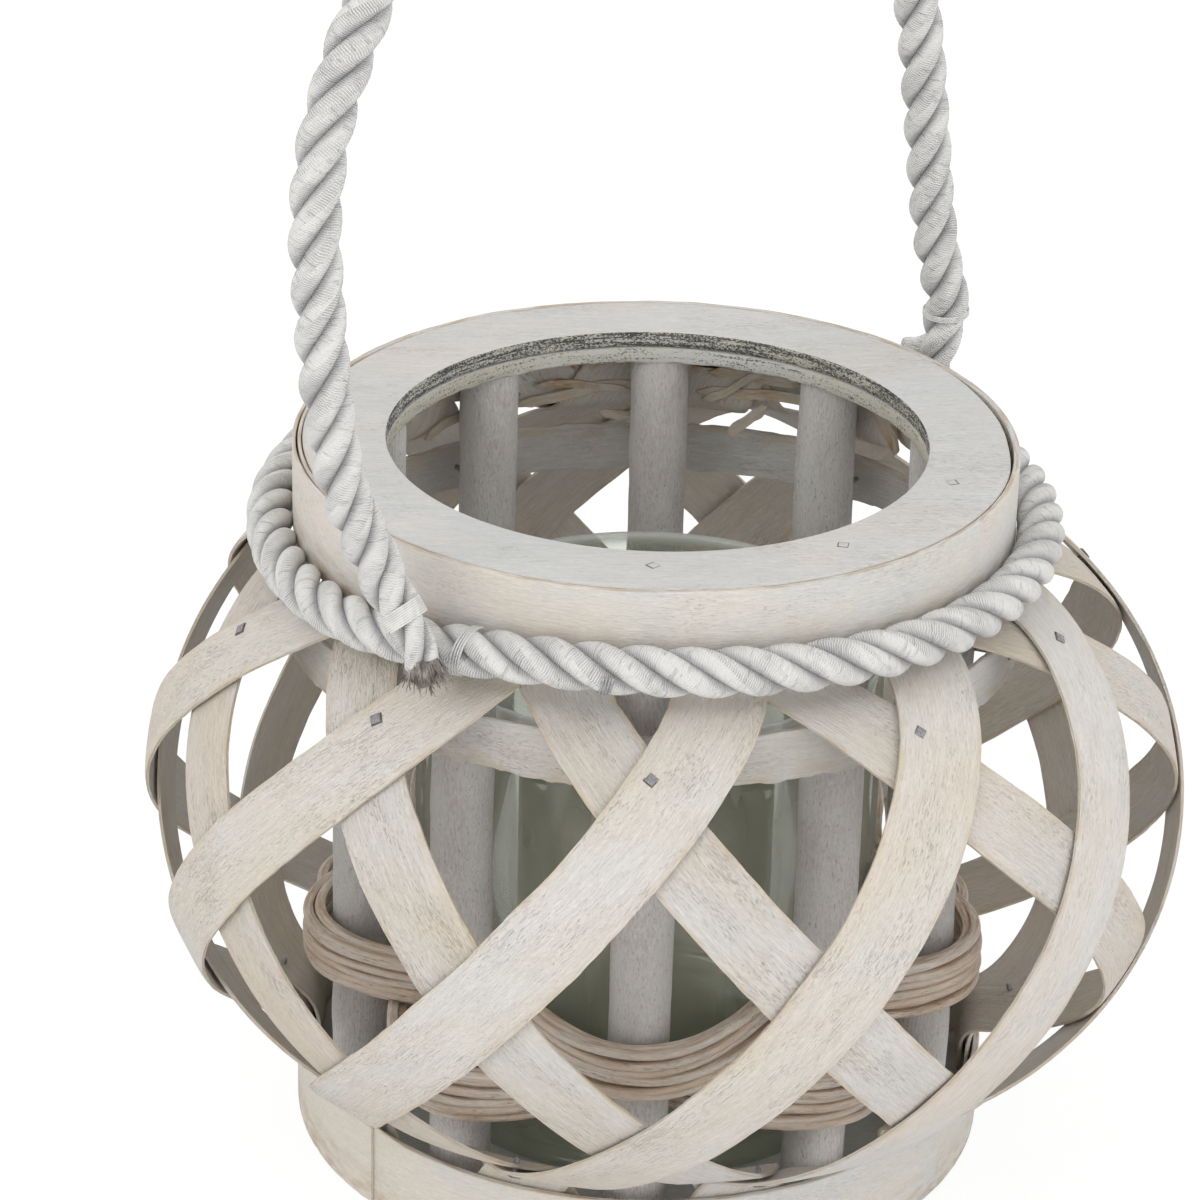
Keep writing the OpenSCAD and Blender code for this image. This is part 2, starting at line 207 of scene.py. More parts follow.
def close_columns(table):
    """Repeats the first column at the end, and then the last row, as the corners of a skin need."""
    table = np.concatenate([table, table[:, :1]], 1)
    return np.concatenate([table, table[-1:]], 0)


def skin(name, rings, grain, wear_and_shade=None, closed=False, column_set=None, sharp=40):
    """A skin over rings[i][j] in millimetres. Each ring is closed; `closed` joins the last to the
    first, and otherwise both ends are capped. grain and wear have one row and column more than the
    rings, or are lists of such arrays, from which column_set picks one for each column."""
    rings = np.asarray(rings, float)
    rows, cols = rings.shape[:2]
    grains = grain if isinstance(grain, list) else [grain]
    wears = wear_and_shade if isinstance(wear_and_shade, list) else [wear_and_shade] * len(grains)
    sets = np.zeros(cols, int) if column_set is None else np.asarray(column_set)
    i, j = np.meshgrid(np.arange(rows if closed else rows - 1), np.arange(cols), indexing="ij")
    i = i.ravel()
    j = j.ravel()
    ci = np.stack([i, i, i + 1, i + 1], 1)
    cj = np.stack([j, j + 1, j + 1, j], 1)
    faces = [tuple(f) for f in (ci % rows) * cols + cj % cols]
    which = sets[j]
    if not closed:
        faces.append(tuple(range(cols - 1, -1, -1)))
        faces.append(tuple((rows - 1) * cols + k for k in range(cols)))
    mesh = bpy.data.meshes.new(name)
    mesh.from_pydata([tuple(p) for p in rings.reshape(-1, 3) * MM], [], faces)
    mesh.polygons.foreach_set("material_index", np.concatenate([which, [0, 0]])[:len(faces)])
    for label, tables in (("grain", grains), ("wear_and_shade", wears)):
        if tables[0] is None:
            continue
        stack = np.stack([np.broadcast_to(t, (rows + 1, cols + 1, 3)) for t in tables])
        values = stack[which[:, None], ci, cj].reshape(-1, 3)
        if not closed:
            last = np.arange(cols)
            values = np.concatenate([values, stack[0][0, last[::-1]], stack[0][rows - 1, last]])
        corner_values(mesh, label, values)
    shape = bmesh.new()
    shape.from_mesh(mesh)
    bmesh.ops.recalc_face_normals(shape, faces=shape.faces)
    shape.to_mesh(mesh)
    shape.free()
    mesh.shade_smooth()
    mesh.set_sharp_from_angle(angle=math.radians(sharp))
    piece = bpy.data.objects.new(name, mesh)
    bpy.context.scene.collection.objects.link(piece)
    return piece


print("a skin carries two attributes on its corners: grain and wear")


# %% Join and dress pieces
def join_pieces(name, parts):
    """Joins small pieces of one kind into one object."""
    bpy.ops.object.select_all(action="DESELECT")
    for part in parts:
        part.select_set(True)
    bpy.context.view_layer.objects.active = parts[0]
    bpy.ops.object.join()
    parts[0].name = name
    return parts[0]


def dress(piece, materials, body, slot, *nodes):
    """Gives a piece its finish and the body it rides on, and hides the nodes it stands for."""
    for material in materials if isinstance(materials, list) else [materials]:
        piece.data.materials.append(material)
    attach(piece, body)
    if nodes:
        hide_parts(*nodes)
    return piece


# %% [markdown]
# ## Hand-made unevenness
# Nothing on the lantern is quite straight or quite round. A table of random numbers,
# read with a soft step between neighbours, gives a curve that wanders between -1
# and 1. Each use has its own seed, so every run gives the same lantern.


# %% Random curves that repeat
WANDER_ROWS = 64


def wander(x, seed, period=512):
    """A smooth random curve between -1 and 1, about one wave for each unit of x."""
    table = np.random.default_rng(seed).uniform(-1, 1, period)
    x = np.asarray(x, float)
    low = np.floor(x).astype(int)
    t = x - low
    t = t * t * (3 - 2 * t)
    return table[low % period] * (1 - t) + table[(low + 1) % period] * t


def wander_2d(x, y, seed, period=512):
    """The same over a surface; it repeats along x after `period`."""
    rows = WANDER_ROWS
    table = np.random.default_rng(seed).uniform(-1, 1, (period, rows))
    x, y = np.broadcast_arrays(np.asarray(x, float), np.asarray(y, float))
    i = np.floor(x).astype(int)
    j = np.floor(y).astype(int)
    s = x - i
    t = y - j
    s = s * s * (3 - 2 * s)
    t = t * t * (3 - 2 * t)
    near = table[i % period, j % rows] * (1 - t) + table[i % period, (j + 1) % rows] * t
    next_i = (i + 1) % period
    far = table[next_i, j % rows] * (1 - t) + table[next_i, (j + 1) % rows] * t
    return near * (1 - s) + far * s


def step_up(x, low, high):
    """0 below low, 1 above high, and a soft rise between."""
    t = np.clip((np.asarray(x, float) - low) / (high - low), 0, 1)
    return t * t * (3 - 2 * t)


print("a wandering curve:", np.round(wander([0, 0.5, 1, 1.5, 2], 1), 2))

# %% [markdown]
# ## Building blocks for the finishes
# A finish is a small graph of nodes. These helpers keep each graph short to read:
# one adds a node and fills its sockets, one makes noise that is stretched along the
# grain, one turns a range of noise into a mask, and one lays a colour over another.

# %% Colours
def rgb(red, green, blue):
    """A colour as a painter names it (0 to 255), in the linear values that Blender wants."""
    parts = [c / 255 for c in (red, green, blue)]
    return tuple(c / 12.92 if c < 0.04045 else ((c + 0.055) / 1.055) ** 2.4 for c in parts) + (1,)


WHITE = rgb(255, 255, 255)
print("a painter's mid grey, 128, is", round(rgb(128, 128, 128)[0], 3), "in linear light")


# %% Helpers for material graphs
# where a mix node keeps its two colours and its result
MIX_A = 6
MIX_B = 7
MIX_RESULT = 2


def new_finish(name, roughness, **sockets):
    """A material with one shader, whose even values are set on the shader's own sockets."""
    material = bpy.data.materials.new(name)
    material.use_nodes = True
    shader = material.node_tree.nodes["Principled BSDF"]
    shader.inputs["Roughness"].default_value = roughness
    for label, value in sockets.items():
        shader.inputs[label.replace("_", " ")].default_value = value
    return material, material.node_tree, shader


def add(tree, kind, sockets, **settings):
    """Adds a node; each socket gets a value, or a link if the value is another node's socket."""
    made = tree.nodes.new("ShaderNode" + kind)
    for label, value in settings.items():
        setattr(made, label, value)
    for label, value in sockets.items():
        if isinstance(value, bpy.types.NodeSocket):
            tree.links.new(value, made.inputs[label])
        else:
            made.inputs[label].default_value = value
    return made


def attribute(tree, name):
    return add(tree, "Attribute", {}, attribute_name=name).outputs["Vector"]


def noise(tree, place, stretch, shift, detail, rough=0.55):
    """Noise over `place`, in waves for each millimetre along each axis."""
    moved = add(tree, "VectorMath", {0: place, 1: stretch, 2: (shift, shift * 1.7, shift * 0.3)},
                operation="MULTIPLY_ADD")
    return add(tree, "TexNoise", {"Vector": moved.outputs[0], "Scale": 1.0, "Detail": detail,
                                  "Roughness": rough}).outputs["Fac"]


def mask(tree, value, low, high, start=0.0, end=1.0):
    """Turns the range from low to high into the range from start to end."""
    return add(tree, "MapRange", {"Value": value, "From Min": low, "From Max": high,
                                  "To Min": start, "To Max": end}).outputs["Result"]


def maths(tree, operation, first, second=0.0):
    return add(tree, "Math", {0: first, 1: second}, operation=operation).outputs[0]


def layer(tree, amount, under, over):
    """Lays one colour over another."""
    mixed = add(tree, "Mix", {0: amount, MIX_A: under, MIX_B: over}, data_type="RGBA")
    return mixed.outputs[MIX_RESULT]


def emboss(tree, shader, height, depth_mm):
    """Presses a height into the surface, as deep as depth_mm."""
    bump = add(tree, "Bump", {"Height": height, "Distance": depth_mm * MM, "Strength": 1.0})
    tree.links.new(bump.outputs["Normal"], shader.inputs["Normal"])


print("a mix node takes its colours at sockets", MIX_A, "and", MIX_B)

# %% [markdown]
# ## Washed wood
# White wash is thin paint, rubbed into raw wood. It leaves a chalky skin that is cool
# where it lies thick and creamy where the wood shows through, with fine lines along
# the grain and short brown dashes where pores stayed open. Cut edges take less wash,
# and torn ends are raw wood. One graph makes all the wooden finishes, because they
# differ only in their colours, in how thick the wash is and in how rough the wood was.


# %% The washed wood finish
BLUSH = rgb(221, 208, 201)
TORN_PALE = rgb(206, 190, 164)
TORN_BROWN = rgb(168, 122, 88)


def washed_wood(name, cool, warm, raw, dash, seed, lines, pores, relief, pitch, blotch=0.03):
    """Wash over wood. cool and warm are the wash, raw its cut edges and dash its open pores; lines
    and pores say how strong those are, relief how deep in millimetres, pitch how fine the grain is
    in lines for each millimetre, and blotch how fine the patches of cool and warm are."""
    material, tree, shader = new_finish(name, 0.75, Specular_IOR_Level=0.2)
    place = attribute(tree, "grain")
    edge, torn, tone = add(tree, "SeparateXYZ", {0: attribute(tree, "wear_and_shade")}).outputs
    patches = noise(tree, place, (blotch, blotch, blotch * 0.6), seed, 3.0)
    warmth = maths(tree, "ADD", mask(tree, patches, 0.36, 0.64), tone)
    colour = layer(tree, mask(tree, warmth, 0.0, 1.0), cool, warm)
    blush = noise(tree, place, (blotch * 1.3, blotch, blotch), seed + 31, 2.0)
    colour = layer(tree, mask(tree, blush, 0.5, 0.7, 0.0, 0.4), colour, BLUSH)
    fine = noise(tree, place, (pitch, pitch, 0.13), seed + 3, 4.0, 0.7)
    shade = mask(tree, fine, 0.3, 0.7, 1.0 - lines, 1.0 + lines * 0.4)
    fuzz = noise(tree, place, (pitch * 1.6, pitch, 0.55), seed + 5, 2.0, 0.6)
    shade = maths(tree, "MULTIPLY", shade, mask(tree, fuzz, 0.3, 0.7, 0.93, 1.04))
    colour = add(tree, "VectorMath", {0: colour, "Scale": shade}, operation="SCALE").outputs[0]
    thin = noise(tree, place, (0.07, 0.07, 0.03), seed + 7, 3.0, 0.6)
    short = noise(tree, place, (3.2, 3.2, 0.55), seed + 11, 2.0, 0.55)
    crowd = mask(tree, thin, 0.40, 0.72, -0.12, 0.08)
    open_pores = mask(tree, maths(tree, "ADD", short, crowd), 0.58, 0.72)
    colour = layer(tree, maths(tree, "MULTIPLY", open_pores, pores), colour, dash)
    bare = noise(tree, place, (0.3, 0.9, 0.10), seed + 17, 3.0)
    colour = layer(tree, maths(tree, "MULTIPLY", edge, mask(tree, bare, 0.42, 0.62)), colour, raw)
    rust = noise(tree, place, (0.6, 0.6, 0.12), seed + 23, 3.0)
    brown = layer(tree, mask(tree, rust, 0.42, 0.66), TORN_PALE, TORN_BROWN)
    colour = layer(tree, torn, colour, brown)
    tree.links.new(colour, shader.inputs["Base Color"])
    rough_skin = maths(tree, "ADD", fine, maths(tree, "MULTIPLY", fuzz, 0.9))
    height = maths(tree, "SUBTRACT", rough_skin, maths(tree, "MULTIPLY", open_pores, 0.5))
    emboss(tree, shader, height, relief)
    return material


print("torn wood runs from pale to brown:", [round(c, 2) for c in TORN_PALE + TORN_BROWN])

# %% The six kinds of washed wood
board_wash = washed_wood("board_wash", rgb(207, 208, 207), rgb(205, 203, 199), rgb(196, 186, 170),
                         rgb(160, 154, 146), 1.0, 0.12, 0.4, 0.2, 1.6, 0.02)
band_wash = washed_wood("band_wash", rgb(206, 206, 204), rgb(215, 208, 197), rgb(186, 168, 146),
                        rgb(186, 168, 146), 40.0, 0.09, 0.35, 0.2, 1.5)
hoop_wash = washed_wood("hoop_wash", rgb(210, 209, 207), rgb(206, 202, 195), rgb(196, 184, 164),
                        rgb(164, 156, 146), 80.0, 0.14, 0.25, 0.4, 1.4)
outer_wash = washed_wood("outer_strip_wash", rgb(218, 215, 210), rgb(217, 208, 195), rgb(204, 190, 168),
                         rgb(182, 166, 150), 120.0, 0.15, 0.3, 0.4, 1.8)
inner_wash = washed_wood("inner_strip_wash", rgb(214, 210, 205), rgb(212, 202, 187), rgb(200, 184, 160),
                         rgb(172, 155, 138), 160.0, 0.17, 0.35, 0.45, 1.8)
willow_wash = washed_wood("willow_wash", rgb(230, 220, 209), rgb(224, 204, 184), rgb(184, 150, 118),
                          rgb(140, 112, 90), 200.0, 0.2, 0.7, 0.4, 1.3, 0.06)
print("wood finishes:", len(bpy.data.materials))

# %% [markdown]
# ## Peeled sticks
# The sticks are whole round shoots with the bark off. The wash sits in their pitted
# skin, so they look mottled and grey rather than lined. A small-scale noise gives the
# pits, and a longer one lets a faint violet-brown of the inner bark show through.


# %% The stick finish
def stick_finish(name, seed):
    material, tree, shader = new_finish(name, 0.8, Specular_IOR_Level=0.2)
    place = attribute(tree, "grain")
    patches = noise(tree, place, (0.07, 0.07, 0.02), seed, 3.0)
    colour = layer(tree, mask(tree, patches, 0.4, 0.62), rgb(216, 213, 208), rgb(201, 193, 190))
    pits = noise(tree, place, (1.5, 1.5, 0.4), seed + 5, 4.0, 0.7)
    colour = layer(tree, mask(tree, pits, 0.40, 0.62, 0.0, 0.65), colour, rgb(230, 229, 226))
    specks = noise(tree, place, (1.6, 1.6, 0.6), seed + 9, 2.0, 0.6)
    colour = layer(tree, mask(tree, specks, 0.60, 0.72, 0.0, 0.5), colour, rgb(130, 122, 118))
    tree.links.new(colour, shader.inputs["Base Color"])
    emboss(tree, shader, maths(tree, "SUBTRACT", pits, maths(tree, "MULTIPLY", specks, 0.4)), 0.9)
    return material


stick_wash = stick_finish("stick_wash", 300.0)
print("the stick finish has", len(stick_wash.node_tree.nodes), "nodes")

# %% [markdown]
# ## The sawn bore
# The hole through the ring was sawn and only brushed over, so its wall is fuzzy with
# streaks of wash, and charcoal patches are painted on it as the shade inside the hole:
# darker in the upper board, paler in the lower.
# Here `grain` runs round the hole, so its streaks are level.


# %% The bore finish
def bore_finish(name, dark_share, seed):
    material, tree, shader = new_finish(name, 0.85, Specular_IOR_Level=0.1)
    place = attribute(tree, "grain")
    streaks = noise(tree, place, (0.9, 0.9, 0.05), seed, 4.0, 0.7)
    fuzz = noise(tree, place, (1.8, 1.8, 1.1), seed + 4, 3.0, 0.75)
    both = maths(tree, "ADD", maths(tree, "MULTIPLY", streaks, 0.45), maths(tree, "MULTIPLY", fuzz, 0.55))
    bore_shade_start = 0.60 - dark_share * 0.25
    bore_shade = mask(tree, both, bore_shade_start, bore_shade_start + 0.08)
    ends = noise(tree, place, (0.02, 0.02, 0.012), seed + 8, 2.0)
    pale = layer(tree, mask(tree, ends, 0.35, 0.65), rgb(205, 205, 200), rgb(196, 192, 176))
    # painted shade: charcoal-grey patches stand for the shade inside the bore, between pale streaks of wash
    colour = layer(tree, bore_shade, pale, rgb(84, 84, 84))
    tree.links.new(colour, shader.inputs["Base Color"])
    emboss(tree, shader, both, 0.4)
    return material


upper_bore = bore_finish("upper_bore", 0.62, 500.0)
lower_bore = bore_finish("lower_bore", 0.30, 520.0)
print("the bore finish has", len(upper_bore.node_tree.nodes), "nodes")

# %% [markdown]
# ## Rope, wire and nails
# The rope's strands are wound round with thin white thread, which shows as ribs about
# six tenths of a millimetre apart: too fine for the mesh, and just right for a bump
# that follows each strand. The ribs drift and part, and are painted grey in patches and
# in the gaps between them; the grooves where the strands meet are painted darker, as
# their shade. Wires and nails are dull steel, some of them washed over with the wood.

# %% Rope, wire and nail finishes
RIBS_PER_MM = 1.6


def rope_finish(name, tint, seed):
    material, tree, shader = new_finish(name, 0.85, Specular_IOR_Level=0.15, Sheen_Weight=0.15)
    place = attribute(tree, "grain")
    along = add(tree, "SeparateXYZ", {0: place}).outputs[2]
    drift = noise(tree, place, (0.35, 0.35, 0.12), seed, 2.0)
    ribs = maths(tree, "MULTIPLY", along, RIBS_PER_MM)
    ribs = maths(tree, "ADD", ribs, maths(tree, "MULTIPLY", drift, 2.2))
    rib_wave = maths(tree, "SINE", maths(tree, "MULTIPLY", ribs, 2 * math.pi))
    loose = mask(tree, noise(tree, place, (0.12, 0.12, 0.08), seed + 5, 3.0), 0.42, 0.68)
    gaps = maths(tree, "MULTIPLY", mask(tree, rib_wave, 0.2, -0.9), loose)
    fibre = noise(tree, place, (0.9, 0.9, 5.0), seed + 9, 2.0)
    colour = layer(tree, mask(tree, fibre, 0.3, 0.7), tint, rgb(228, 227, 224))
    strayed = noise(tree, place, (0.10, 0.10, 0.75), seed + 14, 3.0, 0.65)
    parted = mask(tree, strayed, 0.56, 0.66)
    colour = layer(tree, maths(tree, "MULTIPLY", parted, 0.35), colour, rgb(150, 149, 152))
    # the gaps between the ribs are painted a darker grey
    colour = layer(tree, maths(tree, "MULTIPLY", gaps, 0.5), colour, rgb(140, 140, 146))
    # painted shade: the grooves where the strands meet are painted darker
    groove_shade = add(tree, "SeparateXYZ", {0: attribute(tree, "wear_and_shade")}).outputs[0]
    colour = layer(tree, maths(tree, "MULTIPLY", groove_shade, 0.7), colour, rgb(158, 156, 159))
    tree.links.new(colour, shader.inputs["Base Color"])
    height = maths(tree, "ADD", maths(tree, "MULTIPLY", rib_wave, 0.5), maths(tree, "MULTIPLY", gaps, -1.0))
    emboss(tree, shader, maths(tree, "SUBTRACT", height, parted), 0.2)
    return material


def plain_fibre(name, cool, warm, seed):
    material, tree, shader = new_finish(name, 0.9, Specular_IOR_Level=0.1)
    mottle = noise(tree, attribute(tree, "grain"), (0.6, 0.6, 0.3), seed, 3.0)
    tree.links.new(layer(tree, mask(tree, mottle, 0.35, 0.65), cool, warm), shader.inputs["Base Color"])
    return material


def dull_steel(name, dark, light, seed):
    material, tree, shader = new_finish(name, 0.5, Metallic=0.3)
    marks = noise(tree, attribute(tree, "grain"), (1.6, 1.6, 1.6), seed, 4.0, 0.7)
    tree.links.new(layer(tree, mask(tree, marks, 0.35, 0.65), dark, light), shader.inputs["Base Color"])
    emboss(tree, shader, marks, 0.15)
    return material


rope_thread = rope_finish("rope_thread", rgb(219, 218, 215), 600.0)
lashing_thread = plain_fibre("lashing_thread", rgb(224, 222, 218), rgb(205, 204, 204), 640.0)
frayed_core = plain_fibre("frayed_core", rgb(98, 91, 84), rgb(158, 152, 146), 650.0)
tie_wire = dull_steel("tie_wire", rgb(150, 150, 152), rgb(186, 186, 188), 660.0)
pale_wire = dull_steel("pale_wire", rgb(196, 195, 194), rgb(214, 213, 211), 665.0)
nail_steel = dull_steel("nail_steel", rgb(112, 111, 114), rgb(164, 163, 166), 670.0)
washed_steel = dull_steel("washed_steel", rgb(188, 188, 186), rgb(206, 206, 204), 675.0)
# painted shade: the dark brown of the plates round the bare nail heads
nail_dent_shade = plain_fibre("nail_dent_shade", rgb(92, 82, 74), rgb(134, 122, 110), 680.0)
print("finishes so far:", len(bpy.data.materials))

# %% [markdown]
# ## Thin glass
# A thin wall hardly bends what is seen through it, so real refraction would only add
# noise. The finish is a mix of three plain shaders instead: a see-through one with a
# faint green, a dull one for the film of dust, and a gloss that grows where the wall
# is seen edge on. The film is thin near the rim and near the floor, where a hand
# wipes it off, and a whitish band of the dull shader is painted on the rim as its highlight.

# %% The glass finish
HAZE_COLOUR = rgb(196, 195, 180)
# painted highlight: the whitish colour laid on the glass rim
RIM_HIGHLIGHT_COLOUR = rgb(234, 238, 238)


def clear_glass(name):
    """A tint, a film of haze whose strength depends on the height, a whitish painted highlight on the rim,
    and a gloss.
    """
    material = bpy.data.materials.new(name)
    material.use_nodes = True
    tree = material.node_tree
    tree.nodes.remove(tree.nodes["Principled BSDF"])
    place = attribute(tree, "grain")
    height = add(tree, "SeparateXYZ", {0: place}).outputs[2]
    smears = noise(tree, place, (0.06, 0.06, 0.012), 700.0, 3.0)
    spots = noise(tree, place, (0.6, 0.6, 0.5), 710.0, 3.0)
    low = mask(tree, height, glass_top_z - 6, glass_top_z - 34, 0.06, 0.40)
    low = maths(tree, "MULTIPLY", low, mask(tree, height, glass_low_z + 2, glass_low_z + 14, 0.2, 1.0))
    film = maths(tree, "MULTIPLY", low, mask(tree, smears, 0.3, 0.7, 0.6, 1.35))
    film = maths(tree, "ADD", film, mask(tree, spots, 0.70, 0.76, 0.0, 0.05))
    # painted highlight: a whitish band of the dull shader along the rim
    rim = mask(tree, height, glass_top_z - 4.5, glass_top_z - 1.5, 0.0, 0.55)
    film = maths(tree, "ADD", film, rim)
    tint = add(tree, "BsdfTransparent", {"Color": rgb(242, 245, 240)})
    haze = add(tree, "BsdfDiffuse", {"Color": layer(tree, rim, HAZE_COLOUR, RIM_HIGHLIGHT_COLOUR)})
    wall = add(tree, "MixShader", {0: film, 1: tint.outputs[0], 2: haze.outputs[0]})
    gloss = add(tree, "BsdfGlossy", {"Color": WHITE, "Roughness": 0.04})
    edge_on = maths(tree, "MULTIPLY", add(tree, "Fresnel", {"IOR": 1.45}).outputs[0], 0.6)
    coat = add(tree, "MixShader", {0: edge_on, 1: wall.outputs[0], 2: gloss.outputs[0]})
    tree.links.new(coat.outputs[0], tree.nodes["Material Output"].inputs["Surface"])
    return material


lantern_glass = clear_glass("lantern_glass")
print("finishes in all:", len(bpy.data.materials))

# %% [markdown]
# ## The top ring
# Two sawn boards lie on each other. Their grain is straight, so it is measured in
# space, along one line of the board, and not round the ring. The outline of a board's
# section has its corners eased, and the sawn bore is a little uneven, more so at its
# lower edge, where the saw tore out fibres.

# %% Turned outlines and straight grain
BOARD_GRAIN = np.array([0.66, -0.75])
RING_STEPS = 288
ring_angles = np.linspace(0, 2 * np.pi, RING_STEPS, endpoint=False)
ring_angles_all = np.append(ring_angles, 2 * np.pi)


def straight_grain(spots, way):
    """Across, through and along the grain of a flat board."""
    way = way / np.linalg.norm(way)
    across = spots[..., 0] * -way[1] + spots[..., 1] * way[0]
    return np.stack([across, spots[..., 2], spots[..., 0] * way[0] + spots[..., 1] * way[1]], -1)


def close_table(table):
    """Repeats the first row and column at the end, as a closed skin needs."""
    table = np.concatenate([table, table[:1]], 0)
    return np.concatenate([table, table[:, :1]], 1)


def turned(outline, angles, radius_shift=0.0):
    """Turns an outline of radius and height about Z. The shift may differ for each angle and point."""
    outline = np.array(outline, float)
    heights = np.broadcast_to(outline[None, :, 1], (len(angles), len(outline)))
    radii = np.broadcast_to(outline[None, :, 0] + radius_shift, heights.shape)
    return np.stack([radii * np.cos(angles)[:, None], radii * np.sin(angles)[:, None], heights], -1)


def rim_gap(angles):
    """How far the boards stop short of the band: a hairline, and an open crack on one side."""
    degrees = np.degrees(angles) % 360
    crack = step_up(degrees, 296, 312) * (1 - step_up(degrees, 328, 346))
    return 0.28 + 0.10 * wander(degrees / 12, 21, 30) + 1.15 * crack


print("the open crack is", round(rim_gap(np.radians([320.0]))[0], 2), "mm wide")

# %% Make the ring boards
EDGE_EASE = 0.45
BOARD_GAP = 0.25
# points of the board's outline: the outer edge that shows raw wood, and the bore's lower edge
EDGE_POINTS = [2, 3, 4]
TORN_POINT = 6


def ring_board(name, low, high, way, seed, ragged):
    """A flat ring with eased edges; ragged says how far its bore is torn out at the bottom."""
    outline = [(ring_r - 1.5, high), (ring_r - EDGE_EASE, high - 0.1), (ring_r, high - EDGE_EASE),
               (ring_r, low + EDGE_EASE), (ring_r - EDGE_EASE, low), (bore_r + 1.2, low),
               (bore_r + 0.4, low + 0.15), (bore_r, low + 0.8), (bore_r, (low + high) / 2),
               (bore_r, high - 0.9), (bore_r + 0.3, high - 0.25), (bore_r + 1.1, high)]
    is_outer = np.array([r > ring_r - 2 for r, _ in outline])
    is_bore = np.array([r < bore_r + 0.2 for r, _ in outline])
    turns = ring_angles[:, None] / (2 * np.pi)
    shift = np.where(is_outer, -rim_gap(ring_angles)[:, None], 0.0)
    saw = wander(turns * 90, seed, 90) * 0.12 + wander(turns * 240, seed + 1, 240) * 0.10
    shift = shift + np.where(is_bore, 0.15 + saw, 0.0)
    torn_out = np.maximum(0, wander(turns * 200, seed + 2, 200)) * ragged
    shift[:, TORN_POINT] += torn_out[:, 0]
    rings = turned(outline, ring_angles, shift)
    straight = close_table(straight_grain(rings, way))
    arc = ring_angles_all[:, None] * bore_r * np.ones((1, len(outline) + 1))
    heights = close_table(rings)[..., 2]
    level_grain = np.stack([heights, np.zeros_like(heights), arc], -1)
    wear_and_shade = np.zeros((RING_STEPS + 1, len(outline) + 1, 3))
    wear_and_shade[:, EDGE_POINTS, 0] = 1.0
    columns = (is_bore | np.roll(is_bore, -1)).astype(int)
    return skin(name, rings, [straight, level_grain], [wear_and_shade, wear_and_shade], True, columns)


UNDER_GRAIN = BOARD_GRAIN[::-1] * [1, -1]
top_board = ring_board("top_ring_board", joint_z + BOARD_GAP / 2, top_z, BOARD_GRAIN, 11, 0.3)
dress(top_board, [board_wash, upper_bore], "basket", "board_wood", "top_board")
under_board = ring_board("under_ring_board", ring_low_z, joint_z - BOARD_GAP / 2, UNDER_GRAIN, 14, 0.9)
dress(under_board, [board_wash, lower_bore], "basket", "board_wood", "under_board")
print("ring boards have", len(top_board.data.polygons), "faces each")

# %% [markdown]
# ## The base board
# The base closes the cage. It is one board with the same eased edges, and the rings
# of its skin run in from the rim, so the flat faces stay flat.


# %% Make the base board
def disc_board(name, low, high, way):
    steps = [(ring_r - 1.2, low), (ring_r - 0.3, low + 0.3), (ring_r - 0.2, low + 1),
             (ring_r - 0.2, high - 1), (ring_r - 0.4, high - 0.2), (ring_r - 1.4, high)]
    rings = np.stack([turned([s], ring_angles)[:, 0] for s in steps])
    return skin(name, rings, straight_grain(close_columns(rings), way), no_wear())


base_board = disc_board("base_disc", 0.0, base_t, BOARD_GRAIN)
dress(base_board, board_wash, "basket", "board_wood", "base_board")
print("the base board is", round(base_t, 1), "mm thick")

# %% [markdown]
# ## Bent bands
# Thin veneer is bent round the boards and glued. Its ends lap over each other for a
# hand's breadth, where the outer layer stands a little proud with a dark crack behind
# it. A band is a strip whose middle line is nearly a circle, so it is skinned section
# by section round the ring, with a torn-looking, slightly wavy edge at top and bottom.

# %% A bent band
BAND_T = band_r - ring_r
BAND_EASE = 0.35
# columns of the band's corners that lie on a cut edge
BAND_EDGES = [0, 1, 2, 5, 6, 7, 10]
WARM_SIDE = 150


def bent_band(name, start, end, r_in, r_out, low, high, seed, wave=0.25, step=1.25):
    """A band of veneer from one angle to another; the radii may be functions of the angle."""
    angles = np.radians(np.arange(start, end + 0.01, step))
    inner = r_in(angles) if callable(r_in) else np.full(len(angles), r_in)
    outer = r_out(angles) if callable(r_out) else np.full(len(angles), r_out)
    turns = np.degrees(angles)
    top = high - 0.1 + wave * (0.5 * wander(turns / 9, seed) + 0.35 * wander(turns / 1.7, seed + 1) - 0.5)
    bottom = low + wave * (0.6 * wander(turns / 7, seed + 2) + 0.6 * wander(turns / 1.1, seed + 3) + 1)
    ease = BAND_EASE
    middle = (top + bottom) / 2
    section = [(inner + ease, bottom), (outer - ease, bottom), (outer, bottom + ease), (outer, middle),
               (outer, top - ease), (outer - ease, top), (inner + ease, top), (inner, top - ease),
               (inner, middle), (inner, bottom + ease)]
    radii = np.stack([r for r, _ in section], 1)
    heights = np.stack([z for _, z in section], 1)
    rings = np.stack([radii * np.cos(angles)[:, None], radii * np.sin(angles)[:, None], heights], -1)
    run = np.broadcast_to((angles * outer)[:, None], heights.shape)
    grain = close_columns(np.stack([heights, radii - ring_r, run], -1))
    wear_and_shade = np.zeros(grain.shape)
    wear_and_shade[:, BAND_EDGES, 0] = 0.9
    side = np.append(angles, angles[-1])[:, None] - math.radians(WARM_SIDE)
    wear_and_shade[..., 2] = 0.45 * np.cos(side) - 0.05
    return skin(name, rings, grain, wear_and_shade)


print("a turn of veneer is", round(2 * math.pi * band_r), "mm long and", round(BAND_T, 1), "mm thick")

# %% Make the rim band, the base band and the hoop
LAP_START = 112.0
LAP_END = 172.0
LAP_FADE = 8
LAP_RISE = 0.5625
LAP_SHARE = 0.45


